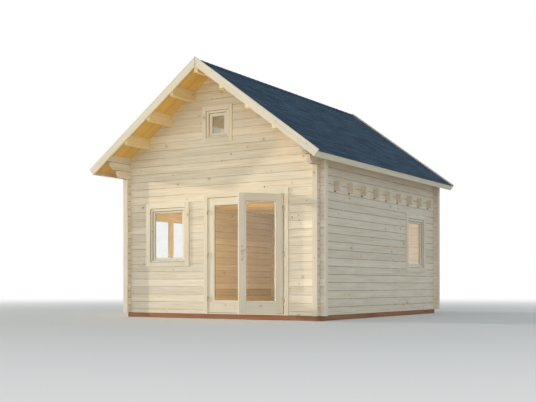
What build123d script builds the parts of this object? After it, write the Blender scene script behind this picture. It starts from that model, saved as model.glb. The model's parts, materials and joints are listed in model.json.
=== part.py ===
from build123d import *
import os
from math import ceil, cos, floor, radians, sin, tan

os.makedirs("parts", exist_ok=True)

# A garden log cabin with a front gable and a glazed double door.
# Millimetres, +Z up, the front faces -Y. X = 0 is the ridge line, Z = 0 the ground.
# The origin lies under the middle of the roof.

# Driving sizes: logs and walls
log_pitch = 135
log_thickness = 70
log_edge = 5
log_gap = 0.4
notch_gap = 0.2
cabin_width = 4000
cabin_depth = 5000
tail_length = 89
side_courses = 21
top_log_cut = 73.5
cut_past = 50

# Driving sizes: base and floors
beam_height = 80
beam_inset = 3
floor_thickness = 26
floor_joist_width = 45
floor_joist_count = 7
loft_joist_width = 70
loft_joist_height = 160
loft_joist_count = 9
loft_joist_first = 528
loft_joist_last_gap = 400
loft_joist_bottom = 2060
loft_joist_tail = 100
loft_floor_thickness = 20
hatch_bay = 6
hatch_from_wall = 330
hatch_length = 850

# Driving sizes: roof
roof_pitch = 36.4
front_overhang = 632
back_overhang = 202
eave_reach = 335
roof_board_thickness = 19
covering_thickness = 5
covering_lip = 10
cap_thickness = 4
cap_reach = 130
barge_thickness = 28
barge_width = 130
barge_stand = 23.5
barge_nose = 56
barge_joint = 2
eave_board_thickness = 20
purlin_width = 70
purlin_depth = 190
purlin_count = 3
purlin_first = 475
purlin_last_gap = 445
purlin_nose = 40
ridge_purlin_depth = 198
seat_gap = 0.3
layer_gap = 0.1

# Driving sizes: log brackets under the front overhang, top and bottom of each rounded end
lower_bracket_reach = 340
lower_bracket_round = 140
upper_bracket_reach = 530
upper_bracket_round = 200

# Driving sizes: corner boards
corner_board_width = 88
corner_board_thickness = 18
corner_board_end_gap = 1
corner_board_roof_gap = 5

# Driving sizes: door
door_from_corner = 1428.5
door_clear_width = 1540
door_clear_height = 2005
jamb_thickness = 40
head_thickness = 45
door_play = 5
door_casing_width = 78
door_casing_top = 94
casing_thickness = 20
threshold_height = 22
threshold_nose = 12
leaf_bottom = 28
leaf_top_gap = 7
leaf_thickness = 40
leaf_front = 8
leaf_side_gap = 6
leaf_middle_gap = 8
leaf_bevel = 3
stile_width = 125
top_rail = 118
bottom_rail = 200
glass_thickness = 6
right_leaf_angle = 49.5
hinge_radius = 6.5
hinge_half = 45
hinge_gap = 0.3
hinge_offset = 28
hinge_from_bottom = 232
hinge_from_top = 238
hinge_lug_near = 5.2
hinge_lug_far = 12
hinge_plate_thickness = 3
hinge_leaf_plate = 17
hinge_frame_plate = 15
stop_depth = 12
stop_gap = 6
stop_head = 15
handle_height = 1070
handle_from_edge = 60
plate_width = 36
plate_below = 185
plate_above = 45
plate_thickness = 3
lever_length = 115
lever_reach = 45
lever_thickness = 10
lever_height = 18
neck_width = 16

# Driving sizes: windows
window_bottom_course = 6
window_courses = 8
loft_window_above = 2
loft_window_courses = 4
window_opening_half = 420
front_window_from_corner = 921
right_window_from_back = 1030
left_window_centre = 1225
left_window_opening_half = 593
loft_window_opening_half = 267.5
window_casing_side = 90
frame_play = 6
frame_side = 63
frame_head = 75
frame_bottom = 53.5
settling_gap = 59.5
sash_play = 0.3
sash_front = 22
sash_thickness = 40
glass_front = 40
sash_side = 38
sash_bottom = 47
sash_top = 32
mullion_half = 25
loft_frame_side = 75
loft_frame_head = 62
loft_frame_bottom = 25.5
loft_settling_gap = 45
loft_sash_side = 57
loft_sash_bottom = 53
loft_sash_top = 50
casing_below = 49
casing_above = 4.5
casing_bottom = 79.5
casing_head = 89
casing_cover = 31
loft_casing_side = 72.5
loft_casing_below = 82.5
loft_casing_above = 17.5
loft_casing_bottom = 90
loft_casing_head = 82
loft_casing_cover = 30
drip_reach = 14
drip_nose = 12
drip_drop = 14
drip_rise = 26
drip_inset = 10

# Values that follow
pitch = radians(roof_pitch)
rise = tan(pitch)
half_width = cabin_width / 2
inner_half = half_width - log_thickness
ground = beam_height
roof_front = -front_overhang
roof_back = cabin_depth + back_overhang
middle = (roof_front - barge_thickness + roof_back + barge_thickness) / 2
joist_top = loft_joist_bottom + loft_joist_height
ridge_under_height = side_courses * log_pitch - top_log_cut + half_width * rise
covering_out = roof_board_thickness + covering_thickness
barge_top = covering_out + barge_stand
barge_bottom = barge_top - barge_width
roof_slope_length = (half_width + eave_reach - barge_top * sin(pitch)) / cos(pitch)
first_gable_course = side_courses - 1
gable_courses = ceil(ridge_under_height / log_pitch - 0.5)
door_centre = half_width - door_from_corner
front_window_centre = front_window_from_corner - half_width
right_window_centre = cabin_depth - right_window_from_back


def at_y(y):
    """Y in the part's frame from the distance behind the front wall's outer face."""
    return y - middle


def at_z(z):
    """Z in the part's frame from the height above the foundation."""
    return z + ground


def block(x, y, z, mode=Mode.ADD):
    """A box from three pairs of low and high."""
    with Locations(((x[0] + x[1]) / 2, (y[0] + y[1]) / 2, (z[0] + z[1]) / 2)):
        Box(x[1] - x[0], y[1] - y[0], z[1] - z[0], mode=mode)


def wall_block(x, y, z, mode=Mode.ADD):
    """A box given behind the front wall and above the foundation."""
    block(x, (at_y(y[0]), at_y(y[1])), (at_z(z[0]), at_z(z[1])), mode)


def log_outline(inner, outer, low, high):
    """Outline of one log: flat inside, both outer edges bevelled."""
    edge = log_edge if outer > inner else -log_edge
    low = low + log_gap / 2
    high = high - log_gap / 2
    Polygon(
        (inner, low),
        (outer - edge, low),
        (outer, low + log_edge),
        (outer, high - log_edge),
        (outer - edge, high),
        (inner, high),
        align=None,
    )


def side_log_low(course):
    return at_z(course * log_pitch)


def end_log_low(course):
    return at_z((course + 0.5) * log_pitch)


def end_logs(courses, outer, inner, x0, x1, half_log=False):
    """Logs of the front or back wall from x0 to x1; outer and inner are Y."""
    with BuildSketch(Plane.YZ.offset(x0)) as outline:
        if half_log:
            log_outline(inner, outer, at_z(0), end_log_low(0))
        for course in courses:
            log_outline(inner, outer, end_log_low(course), end_log_low(course + 1))
    extrude(outline.sketch, amount=x1 - x0)


def side_logs(courses, outer, inner, y0, y1):
    """Logs of a side wall from y0 to y1; outer and inner are X."""
    with BuildSketch(Plane.XZ.offset(-y1)) as outline:
        for course in courses:
            log_outline(inner, outer, side_log_low(course), side_log_low(course + 1))
    extrude(outline.sketch, amount=y1 - y0)


def notch_end_logs(courses, y0, y1):
    """Notches where the side walls cross logs of the front or back wall."""
    size = log_pitch / 4 + notch_gap / 2
    for side in (-1, 1):
        x0 = side * half_width - side * log_thickness
        x1 = side * half_width
        low = min(x0, x1) - notch_gap
        high = max(x0, x1) + notch_gap
        with BuildSketch(Plane.YZ.offset(low)) as outline:
            for course in courses:
                with Locations(((y0 + y1) / 2, end_log_low(course))):
                    Rectangle(abs(y1 - y0) + 2 * cut_past, 2 * size)
        extrude(outline.sketch, amount=high - low, mode=Mode.SUBTRACT)


def notch_side_logs(joints, x0, x1):
    """Notches where the front and back walls cross logs of a side wall."""
    size = log_pitch / 4 + notch_gap / 2
    for low, high in ((0, log_thickness), (cabin_depth - log_thickness, cabin_depth)):
        with BuildSketch(Plane.XZ.offset(-at_y(high) - notch_gap)) as outline:
            for joint in joints:
                with Locations(((x0 + x1) / 2, side_log_low(joint))):
                    Rectangle(abs(x1 - x0) + 2 * cut_past, 2 * size)
        extrude(outline.sketch, amount=high - low + 2 * notch_gap, mode=Mode.SUBTRACT)


def under(x):
    """Height of the roof boards' underside at a distance from the ridge line."""
    return at_z(ridge_under_height - abs(x) * rise)


def trim_under_roof(drop=seat_gap):
    """Cuts off all that stands above the underside of the roof boards."""
    far = cabin_width
    roof_prism(
        [
            (-far, under(far) - drop),
            (0, under(0) - drop),
            (far, under(far) - drop),
            (far, under(0) + far),
            (-far, under(0) + far),
        ],
        roof_front - cut_past,
        roof_back + cut_past,
        Mode.SUBTRACT,
    )


def slope_point(along, out, side):
    """A point of the roof section: down the slope from the ridge, and out of it."""
    x = along * cos(pitch) + out * sin(pitch)
    z = at_z(ridge_under_height) - along * sin(pitch) + out * cos(pitch)
    return (side * x, z)


def ridge_point(out, x=0):
    """The point of a layer of the roof at a small distance from the ridge line."""
    return (x, at_z(ridge_under_height) + out / cos(pitch) - abs(x) * rise)


def roof_prism(points, y0=roof_front, y1=roof_back, mode=Mode.ADD):
    """Extrudes a section of the roof from y0 to y1."""
    with BuildSketch(Plane.XZ.offset(-at_y(y1))) as outline:
        Polygon(*points, align=None)
    extrude(outline.sketch, amount=y1 - y0, mode=mode)


def ring(half, low, high, side, bottom, top, y0, y1):
    """Two uprights and two rails round a rectangle, each piece by itself."""
    for s in (-1, 1):
        block(sorted((s * half, s * (half - side))), (y0, y1), (low, high))
    reach = half - side - seat_gap
    block((-reach, reach), (y0, y1), (low, low + bottom))
    block((-reach, reach), (y0, y1), (high - top, high))


# Foundation beams under the four walls, and floor joists between them
with BuildPart() as foundation_beams:
    reach = half_width - beam_inset
    for y0, y1 in (
        (beam_inset, log_thickness),
        (cabin_depth - log_thickness, cabin_depth - beam_inset),
    ):
        wall_block((-reach, reach), (y0, y1), (-beam_height, 0))
    for side in (-1, 1):
        wall_block(
            sorted((side * inner_half, side * reach)),
            (log_thickness + seat_gap, cabin_depth - log_thickness - seat_gap),
            (-beam_height, 0),
        )
foundation_beams.part.label = "foundation_beams"
export_step(foundation_beams.part, "parts/foundation_beams.step")

with BuildPart() as floor_joists:
    span = cabin_depth - 2 * log_thickness
    for i in range(floor_joist_count):
        y = log_thickness + span * (i + 1) / (floor_joist_count + 1)
        wall_block(
            (-inner_half + seat_gap, inner_half - seat_gap),
            (y - floor_joist_width / 2, y + floor_joist_width / 2),
            (-beam_height, 0),
        )
floor_joists.part.label = "floor_joists"
export_step(floor_joists.part, "parts/floor_joists.step")

with BuildPart() as floor_boards:
    wall_block(
        (-inner_half + seat_gap, inner_half - seat_gap),
        (log_thickness + seat_gap, cabin_depth - log_thickness - seat_gap),
        (0, floor_thickness),
    )
floor_boards.part.label = "floor_boards"
export_step(floor_boards.part, "parts/floor_boards.step")

# Front wall, split beside and over the doorway
door_opening_half = door_clear_width / 2 + jamb_thickness + door_play
door_opening_left = door_centre - door_opening_half
door_opening_right = door_centre + door_opening_half
door_head_course = floor((door_clear_height + head_thickness) / log_pitch - 0.5) + 1
wall_end = half_width + tail_length
front_outer = at_y(0)
front_inner = at_y(log_thickness)
back_outer = at_y(cabin_depth)
back_inner = at_y(cabin_depth - log_thickness)
window_low = (window_bottom_course + 0.5) * log_pitch
window_height = window_courses * log_pitch

with BuildPart() as front_wall_left:
    end_logs(range(door_head_course), front_outer, front_inner, -wall_end, door_opening_left, True)
    notch_end_logs(range(door_head_course + 1), front_outer, front_inner)
    wall_block(
        (front_window_centre - window_opening_half, front_window_centre + window_opening_half),
        (-cut_past, log_thickness + cut_past),
        (window_low, window_low + window_height),
        Mode.SUBTRACT,
    )
front_wall_left.part.label = "front_wall_left"
export_step(front_wall_left.part, "parts/front_wall_left.step")

with BuildPart() as front_wall_right:
    end_logs(range(door_head_course), front_outer, front_inner, door_opening_right, wall_end, True)
    notch_end_logs(range(door_head_course + 1), front_outer, front_inner)
front_wall_right.part.label = "front_wall_right"
export_step(front_wall_right.part, "parts/front_wall_right.step")

with BuildPart() as front_wall_over_door:
    courses = range(door_head_course, first_gable_course)
    end_logs(courses, front_outer, front_inner, -wall_end, wall_end)
    notch_end_logs(range(door_head_course, first_gable_course + 1), front_outer, front_inner)
    trim_under_roof()
front_wall_over_door.part.label = "front_wall_over_door"
export_step(front_wall_over_door.part, "parts/front_wall_over_door.step")

with BuildPart() as back_wall:
    end_logs(range(first_gable_course), back_outer, back_inner, -wall_end, wall_end, True)
    notch_end_logs(range(first_gable_course + 1), back_inner, back_outer)
    trim_under_roof()
back_wall.part.label = "back_wall"
export_step(back_wall.part, "parts/back_wall.step")

# Gables, notched over the purlins
ridge_purlin_low = ridge_under_height - ridge_purlin_depth
purlin_spacing = (inner_half - purlin_first - purlin_last_gap) / (purlin_count - 1)
purlin_positions = [purlin_first + i * purlin_spacing for i in range(purlin_count)]
loft_window_low = (first_gable_course + loft_window_above + 0.5) * log_pitch
loft_window_high = loft_window_low + loft_window_courses * log_pitch
smallest_log_piece = 100000


def purlin_low(position):
    return ridge_under_height - position * rise - purlin_depth


def notch_for_purlins(y0, y1):
    """Slots in a gable for the ridge purlin and the side purlins."""
    gap = seat_gap
    half = purlin_width / 2 + gap
    top = ridge_under_height + cut_past
    wall_block((-half, half), (y0, y1), (ridge_purlin_low - gap, top), Mode.SUBTRACT)
    for position in purlin_positions:
        for side in (-1, 1):
            xs = sorted((side * (position - gap), side * (position + purlin_width + gap)))
            wall_block(xs, (y0, y1), (purlin_low(position) - gap, top), Mode.SUBTRACT)


gable_reach = inner_half - notch_gap
gable_range = range(first_gable_course, gable_courses)

with BuildPart() as front_gable:
    end_logs(gable_range, front_outer, front_inner, -gable_reach, gable_reach)
    notch_for_purlins(-cut_past, log_thickness + cut_past)
    wall_block(
        (-loft_window_opening_half, loft_window_opening_half),
        (-cut_past, log_thickness + cut_past),
        (loft_window_low, loft_window_high),
        Mode.SUBTRACT,
    )
    trim_under_roof()
    chips = [s for s in front_gable.part.solids() if s.volume < smallest_log_piece]
    if chips:
        add(chips, mode=Mode.SUBTRACT)
front_gable.part.label = "front_gable"
export_step(front_gable.part, "parts/front_gable.step")

with BuildPart() as back_gable:
    end_logs(gable_range, back_outer, back_inner, -gable_reach, gable_reach)
    notch_for_purlins(cabin_depth - log_thickness - cut_past, cabin_depth + cut_past)
    trim_under_roof()
    chips = [s for s in back_gable.part.solids() if s.volume < smallest_log_piece]
    if chips:
        add(chips, mode=Mode.SUBTRACT)
back_gable.part.label = "back_gable"
export_step(back_gable.part, "parts/back_gable.step")

# Side walls with their rounded bracket logs and the slots for the loft joists
joist_run = cabin_depth - loft_joist_first - loft_joist_last_gap
joist_spacing = joist_run / (loft_joist_count - 1)
joist_positions = [loft_joist_first + i * joist_spacing for i in range(loft_joist_count)]
side_window_low = window_bottom_course * log_pitch
lower_bracket_course = side_courses - 3
upper_bracket_course = side_courses - 2


def round_bracket(course, reach, rounding):
    """Rounds the lower front end of one log."""
    tip = at_y(-reach)
    low = side_log_low(course)
    high = side_log_low(course + 1)
    with BuildSketch(Plane.YZ.offset(-half_width - cut_past)) as outline:
        with BuildLine():
            EllipticalCenterArc((tip + rounding, high), rounding, log_pitch, 180, arc_size=90)
            Polyline(
                (tip + rounding, low),
                (tip + rounding, low - layer_gap),
                (tip - cut_past, low - layer_gap),
                (tip - cut_past, high),
                (tip, high),
            )
        make_face()
    extrude(outline.sketch, amount=cabin_width + 2 * cut_past, mode=Mode.SUBTRACT)


def side_wall_logs(side):
    """All logs of one side wall, still without openings."""
    outer = side * half_width
    inner = side * inner_half
    y_back = at_y(cabin_depth + tail_length)
    side_logs(range(lower_bracket_course), outer, inner, at_y(-tail_length), y_back)
    side_logs([upper_bracket_course], outer, inner, at_y(-upper_bracket_reach), y_back)
    round_bracket(upper_bracket_course, upper_bracket_reach, upper_bracket_round)
    side_logs([lower_bracket_course], outer, inner, at_y(-lower_bracket_reach), y_back)
    round_bracket(lower_bracket_course, lower_bracket_reach, lower_bracket_round)
    top = [side_courses - 1]
    side_logs(top, outer, inner, at_y(roof_front + seat_gap), at_y(roof_back - seat_gap))
    notch_side_logs(range(side_courses), outer, inner)
    for y in joist_positions:
        gap = seat_gap
        reach = loft_joist_width / 2 + gap
        wall_block(
            sorted((side * (inner_half - cut_past), side * (half_width + cut_past))),
            (y - reach, y + reach),
            (loft_joist_bottom - gap, joist_top + gap),
            Mode.SUBTRACT,
        )
    trim_under_roof()


with BuildPart() as right_wall:
    side_wall_logs(1)
    wall_block(
        (inner_half - cut_past, half_width + cut_past),
        (right_window_centre - window_opening_half, right_window_centre + window_opening_half),
        (side_window_low, side_window_low + window_height),
        Mode.SUBTRACT,
    )
right_wall.part.label = "right_wall"
export_step(right_wall.part, "parts/right_wall.step")

with BuildPart() as left_wall:
    side_wall_logs(-1)
    wall_block(
        (-half_width - cut_past, -inner_half + cut_past),
        (
            left_window_centre - left_window_opening_half,
            left_window_centre + left_window_opening_half,
        ),
        (side_window_low, side_window_low + window_height),
        Mode.SUBTRACT,
    )
left_wall.part.label = "left_wall"
export_step(left_wall.part, "parts/left_wall.step")

# Upright boards on the ends of the log tails
with BuildPart() as corner_boards:
    board_reach = corner_board_width / 2
    tail_middle = half_width - log_thickness / 2
    bracket_low = lower_bracket_course * log_pitch
    for side in (-1, 1):
        xs = (side * tail_middle - board_reach, side * tail_middle + board_reach)
        front = -tail_length - corner_board_thickness
        back = cabin_depth + tail_length
        wall_block(xs, (front, -tail_length), (0, bracket_low - corner_board_end_gap))
        back_high = (side_courses - 1) * log_pitch - corner_board_end_gap
        wall_block(xs, (back, back + corner_board_thickness), (0, back_high))
        out = side * (wall_end + corner_board_thickness)
        high = ridge_under_height - abs(out) * rise - corner_board_roof_gap
        for y in (log_thickness / 2, cabin_depth - log_thickness / 2):
            ys = (y - board_reach, y + board_reach)
            wall_block(sorted((side * wall_end, out)), ys, (0, high))
corner_boards.part.label = "corner_boards"
export_step(corner_boards.part, "parts/corner_boards.step")

# Loft joists through both side walls and past them, and the loft floor with its hatch
hatch_left = hatch_from_wall - inner_half
hatch_right = hatch_left + hatch_length

with BuildPart() as loft_joists:
    joist_reach = half_width + loft_joist_tail
    for y in joist_positions:
        wall_block(
            (-joist_reach, joist_reach),
            (y - loft_joist_width / 2, y + loft_joist_width / 2),
            (loft_joist_bottom, joist_top),
        )
loft_joists.part.label = "loft_joists"
export_step(loft_joists.part, "parts/loft_joists.step")

with BuildPart() as loft_floor:
    floor_reach = inner_half - seat_gap
    y0 = log_thickness + seat_gap
    y1 = joist_positions[hatch_bay]
    y2 = joist_positions[hatch_bay + 1]
    y3 = cabin_depth - log_thickness - seat_gap
    heights = (joist_top, joist_top + loft_floor_thickness)
    wall_block((-floor_reach, floor_reach), (y0, y1 - seat_gap / 2), heights)
    wall_block((-floor_reach, floor_reach), (y2 + seat_gap / 2, y3), heights)
    wall_block((-floor_reach, hatch_left), (y1 + seat_gap / 2, y2 - seat_gap / 2), heights)
    wall_block((hatch_right, floor_reach), (y1 + seat_gap / 2, y2 - seat_gap / 2), heights)
loft_floor.part.label = "loft_floor"
export_step(loft_floor.part, "parts/loft_floor.step")

# Purlins with tops bevelled to the slope
purlin_y0 = roof_front + seat_gap
purlin_y1 = roof_back - seat_gap

with BuildPart() as ridge_purlin:
    half = purlin_width / 2
    low = at_z(ridge_purlin_low)
    roof_prism(
        [
            (-half, low),
            (half, low),
            (half, under(half) - seat_gap),
            (0, under(0) - seat_gap),
            (-half, under(half) - seat_gap),
        ],
        purlin_y0,
        purlin_y1,
    )
ridge_purlin.part.label = "ridge_purlin"
export_step(ridge_purlin.part, "parts/ridge_purlin.step")

with BuildPart() as side_purlins:
    for side in (-1, 1):
        for position in purlin_positions:
            low = at_z(purlin_low(position))
            far = position + purlin_width
            roof_prism(
                [
                    (side * position, low),
                    (side * far, low),
                    (side * far, under(far) - seat_gap),
                    (side * position, under(position) - seat_gap),
                ],
                purlin_y0,
                purlin_y1,
            )
            across = side * (position + purlin_width / 2) - purlin_width
            with BuildSketch(Plane.YZ.offset(across)) as outline:
                for y, way in ((at_y(purlin_y0), 1), (at_y(purlin_y1), -1)):
                    Polygon(
                        (y - way, low - 1),
                        (y + way * purlin_nose, low - 1),
                        (y + way * purlin_nose, low),
                        (y, low + purlin_nose / 2),
                        (y - way, low + purlin_nose / 2),
                        align=None,
                    )
            extrude(outline.sketch, amount=2 * purlin_width, mode=Mode.SUBTRACT)
side_purlins.part.label = "side_purlins"
export_step(side_purlins.part, "parts/side_purlins.step")

# Roof boards, covering, ridge cap and eave boards
eave_board_along = roof_slope_length - eave_board_thickness


def roof_layer(side, low, high, length):
    """One layer of the roof on one side of the ridge."""
    roof_prism(
        [
            ridge_point(low),
            slope_point(length, low, side),
            slope_point(length, high, side),
            ridge_point(high),
        ]
    )


with BuildPart() as roof_boards_left:
    roof_layer(-1, 0, roof_board_thickness, eave_board_along)
roof_boards_left.part.label = "roof_boards_left"
export_step(roof_boards_left.part, "parts/roof_boards_left.step")

with BuildPart() as roof_boards_right:
    roof_layer(1, 0, roof_board_thickness, eave_board_along)
roof_boards_right.part.label = "roof_boards_right"
export_step(roof_boards_right.part, "parts/roof_boards_right.step")

covering_low = roof_board_thickness + layer_gap

with BuildPart() as roof_covering_left:
    roof_layer(-1, covering_low, covering_out, roof_slope_length + covering_lip)
roof_covering_left.part.label = "roof_covering_left"
export_step(roof_covering_left.part, "parts/roof_covering_left.step")

with BuildPart() as roof_covering_right:
    roof_layer(1, covering_low, covering_out, roof_slope_length + covering_lip)
roof_covering_right.part.label = "roof_covering_right"
export_step(roof_covering_right.part, "parts/roof_covering_right.step")

with BuildPart() as ridge_cap:
    cap_low = covering_out + layer_gap
    cap_high = covering_out + cap_thickness
    for side in (-1, 1):
        roof_prism(
            [
                ridge_point(cap_low, side * layer_gap),
                slope_point(cap_reach, cap_low, side),
                slope_point(cap_reach, cap_high, side),
                ridge_point(cap_high, side * layer_gap),
            ]
        )
ridge_cap.part.label = "ridge_cap"
export_step(ridge_cap.part, "parts/ridge_cap.step")

with BuildPart() as eave_boards:
    for side in (-1, 1):
        roof_prism(
            [
                slope_point(eave_board_along + layer_gap, barge_bottom, side),
                slope_point(roof_slope_length, barge_bottom, side),
                slope_point(roof_slope_length, roof_board_thickness, side),
                slope_point(eave_board_along + layer_gap, roof_board_thickness, side),
            ]
        )
eave_boards.part.label = "eave_boards"
export_step(eave_boards.part, "parts/eave_boards.step")

# Barge boards: at the top the left one carries a small nose over the right one


def barge_pair(y0, y1):
    """Both boards of one gable, cut square at the eaves."""
    roof_prism(
        [
            ridge_point(barge_bottom),
            ridge_point(barge_top, barge_nose),
            ridge_point(barge_top),
            slope_point(roof_slope_length, barge_top, -1),
            slope_point(roof_slope_length, barge_bottom, -1),
        ],
        y0,
        y1,
    )
    roof_prism(
        [
            ridge_point(barge_bottom, barge_joint),
            slope_point(roof_slope_length, barge_bottom, 1),
            slope_point(roof_slope_length, barge_top, 1),
            ridge_point(barge_top, barge_nose + barge_joint),
        ],
        y0,
        y1,
    )


with BuildPart() as front_barge_boards:
    barge_pair(roof_front - barge_thickness, roof_front)
front_barge_boards.part.label = "front_barge_boards"
export_step(front_barge_boards.part, "parts/front_barge_boards.step")

with BuildPart() as back_barge_boards:
    barge_pair(roof_back, roof_back + barge_thickness)
back_barge_boards.part.label = "back_barge_boards"
export_step(back_barge_boards.part, "parts/back_barge_boards.step")

# Door frame: jambs, head and stop strips; threshold; casings outside and inside
jamb_left = door_centre - door_clear_width / 2
jamb_right = door_centre + door_clear_width / 2
stop_front = leaf_thickness - leaf_front + stop_gap
head_top = door_clear_height + head_thickness

with BuildPart() as door_frame:
    depth = (0, log_thickness)
    wall_block((jamb_left - jamb_thickness, jamb_left), depth, (0, head_top))
    wall_block((jamb_right, jamb_right + jamb_thickness), depth, (0, head_top))
    wall_block(
        (jamb_left + seat_gap, jamb_right - seat_gap), depth, (door_clear_height, head_top)
    )
    stop_y = (stop_front, log_thickness)
    stop_high = door_clear_height - seat_gap
    gap = seat_gap
    wall_block(
        (jamb_left + gap, jamb_left + stop_depth), stop_y, (threshold_height + gap, stop_high)
    )
    wall_block(
        (jamb_right - stop_depth, jamb_right - gap), stop_y, (threshold_height + gap, stop_high)
    )
    wall_block(
        (jamb_left + stop_depth + gap, jamb_right - stop_depth - gap),
        stop_y,
        (stop_high - stop_head, stop_high),
    )
door_frame.part.label = "door_frame"
export_step(door_frame.part, "parts/door_frame.step")

with BuildPart() as door_threshold:
    xs = (jamb_left + seat_gap, jamb_right - seat_gap)
    wall_block(xs, (-threshold_nose, log_thickness), (0, threshold_height))
door_threshold.part.label = "door_threshold"
export_step(door_threshold.part, "parts/door_threshold.step")

casing_top = door_clear_height + door_casing_top

with BuildPart() as door_casing:
    for y in ((-casing_thickness, 0), (log_thickness, log_thickness + casing_thickness)):
        low = 0 if y[0] < 0 else floor_thickness
        wall_block((jamb_left - door_casing_width, jamb_left), y, (low, casing_top))
        wall_block((jamb_right, jamb_right + door_casing_width), y, (low, casing_top))
        wall_block(
            (jamb_left + seat_gap, jamb_right - seat_gap), y, (door_clear_height, casing_top)
        )
door_casing.part.label = "door_casing"
export_step(door_casing.part, "parts/door_casing.step")

# Door leaves, built about their hinge lines; the right one stands open
leaf_width = (door_clear_width - 2 * leaf_side_gap - leaf_middle_gap) / 2
leaf_y0 = hinge_offset - leaf_front
leaf_y1 = leaf_y0 + leaf_thickness
leaf_far = leaf_side_gap + leaf_width
hinge_y = at_y(-hinge_offset)
angle = radians(right_leaf_angle)
leaf_planes = {
    1: Plane(
        origin=(jamb_right, hinge_y, 0), x_dir=(cos(angle), sin(angle), 0), z_dir=(0, 0, 1)
    ),
    -1: Plane(origin=(jamb_left, hinge_y, 0), x_dir=(1, 0, 0), z_dir=(0, 0, 1)),
}
leaf_top = door_clear_height - leaf_top_gap
leaf_height = leaf_top - leaf_bottom
leaf_low = at_z(leaf_bottom)
leaf_high = at_z(leaf_top)
hinge_low = leaf_bottom + hinge_from_bottom
hinge_high = leaf_top - hinge_from_top
hinge_heights = (hinge_low, (hinge_low + hinge_high) / 2, hinge_high)


def leaf_members(side, plane):
    """Two stiles and two rails; side 1 has its hinge at +X, side -1 at -X."""
    way = -side
    xs = sorted((way * leaf_side_gap, way * (leaf_side_gap + stile_width)))
    block(xs, (leaf_y0, leaf_y1), (leaf_low, leaf_high))
    with BuildSketch(plane.offset(leaf_low)) as outline:
        Polygon(
            (way * (leaf_far - stile_width), leaf_y0),
            (way * leaf_far, leaf_y0),
            (way * (leaf_far - leaf_bevel), leaf_y1),
            (way * (leaf_far - stile_width), leaf_y1),
            align=None,
        )
    extrude(outline.sketch, amount=leaf_height)
    near = leaf_side_gap + stile_width + seat_gap
    far = leaf_far - stile_width - seat_gap
    xs = sorted((way * near, way * far))
    block(xs, (leaf_y0, leaf_y1), (leaf_low, leaf_low + bottom_rail))
    block(xs, (leaf_y0, leaf_y1), (leaf_high - top_rail, leaf_high))


def leaf_pane(side):
    """The pane between stiles and rails."""
    way = -side
    gap = seat_gap
    near = leaf_side_gap + stile_width + gap
    far = leaf_far - stile_width - gap
    middle_y = (leaf_y0 + leaf_y1) / 2
    block(
        sorted((way * near, way * far)),
        (middle_y - glass_thickness / 2, middle_y + glass_thickness / 2),
        (leaf_low + bottom_rail + gap, leaf_high - top_rail - gap),
    )


def leaf_hinges(side):
    """Upper hinge halves, each with a bent lug to a small plate on the leaf's outer face."""
    way = -side
    half = hinge_plate_thickness
    for height in hinge_heights:
        z = at_z(height)
        heights = (z, z + hinge_half)
        with Locations((0, 0, z + hinge_half / 2)):
            Cylinder(hinge_radius, hinge_half)
        block(sorted((way * hinge_lug_near, way * hinge_lug_far)), (0, leaf_y0), heights)
        block(sorted((way, way * hinge_lug_far)), (-half, half), heights)
        xs = sorted((way * hinge_lug_near, way * hinge_leaf_plate))
        block(xs, (leaf_y0 - hinge_plate_thickness, leaf_y0), heights)


with BuildPart(leaf_planes[1]) as right_door_leaf:
    leaf_members(1, leaf_planes[1])
right_door_leaf.part.label = "right_door_leaf"
export_step(right_door_leaf.part, "parts/right_door_leaf.step")

with BuildPart(leaf_planes[1]) as right_door_glass:
    leaf_pane(1)
right_door_glass.part.label = "right_door_glass"
export_step(right_door_glass.part, "parts/right_door_glass.step")

with BuildPart(leaf_planes[1]) as right_door_hinges:
    leaf_hinges(1)
right_door_hinges.part.label = "right_door_hinges"
export_step(right_door_hinges.part, "parts/right_door_hinges.step")

with BuildPart(leaf_planes[-1]) as left_door_leaf:
    leaf_members(-1, leaf_planes[-1])
left_door_leaf.part.label = "left_door_leaf"
export_step(left_door_leaf.part, "parts/left_door_leaf.step")

with BuildPart(leaf_planes[-1]) as left_door_glass:
    leaf_pane(-1)
left_door_glass.part.label = "left_door_glass"
export_step(left_door_glass.part, "parts/left_door_glass.step")

with BuildPart(leaf_planes[-1]) as left_door_hinges:
    leaf_hinges(-1)
left_door_hinges.part.label = "left_door_hinges"
export_step(left_door_hinges.part, "parts/left_door_hinges.step")

with BuildPart() as frame_hinges:
    for side, jamb in ((1, jamb_right), (-1, jamb_left)):
        for height in hinge_heights:
            z = at_z(height)
            with Locations((jamb, hinge_y, z - hinge_gap - hinge_half / 2)):
                Cylinder(hinge_radius, hinge_half)
            plate_y = at_y(-casing_thickness)
            block(
                sorted((jamb, jamb + side * hinge_frame_plate)),
                (plate_y - hinge_plate_thickness, plate_y),
                (z - hinge_gap - hinge_half, z - hinge_gap),
            )
frame_hinges.part.label = "frame_hinges"
export_step(frame_hinges.part, "parts/frame_hinges.step")

# Lever handles on both faces of the right leaf
lever_half = lever_height / 2
neck_half = neck_width / 2

with BuildPart(leaf_planes[1]) as right_door_handle:
    x = -(leaf_far - handle_from_edge)
    z = at_z(handle_height)
    for face, way in ((leaf_y0, -1), (leaf_y1, 1)):
        block(
            (x - plate_width / 2, x + plate_width / 2),
            sorted((face, face + way * plate_thickness)),
            (z - plate_below, z + plate_above),
        )
        block(
            (x - neck_half, x + neck_half),
            sorted((face, face + way * lever_reach)),
            (z - neck_half, z + neck_half),
        )
        block(
            (x - neck_half, x + lever_length),
            sorted((face + way * (lever_reach - lever_thickness), face + way * lever_reach)),
            (z - lever_half, z + lever_half),
        )
right_door_handle.part.label = "right_door_handle"
export_step(right_door_handle.part, "parts/right_door_handle.step")

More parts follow.
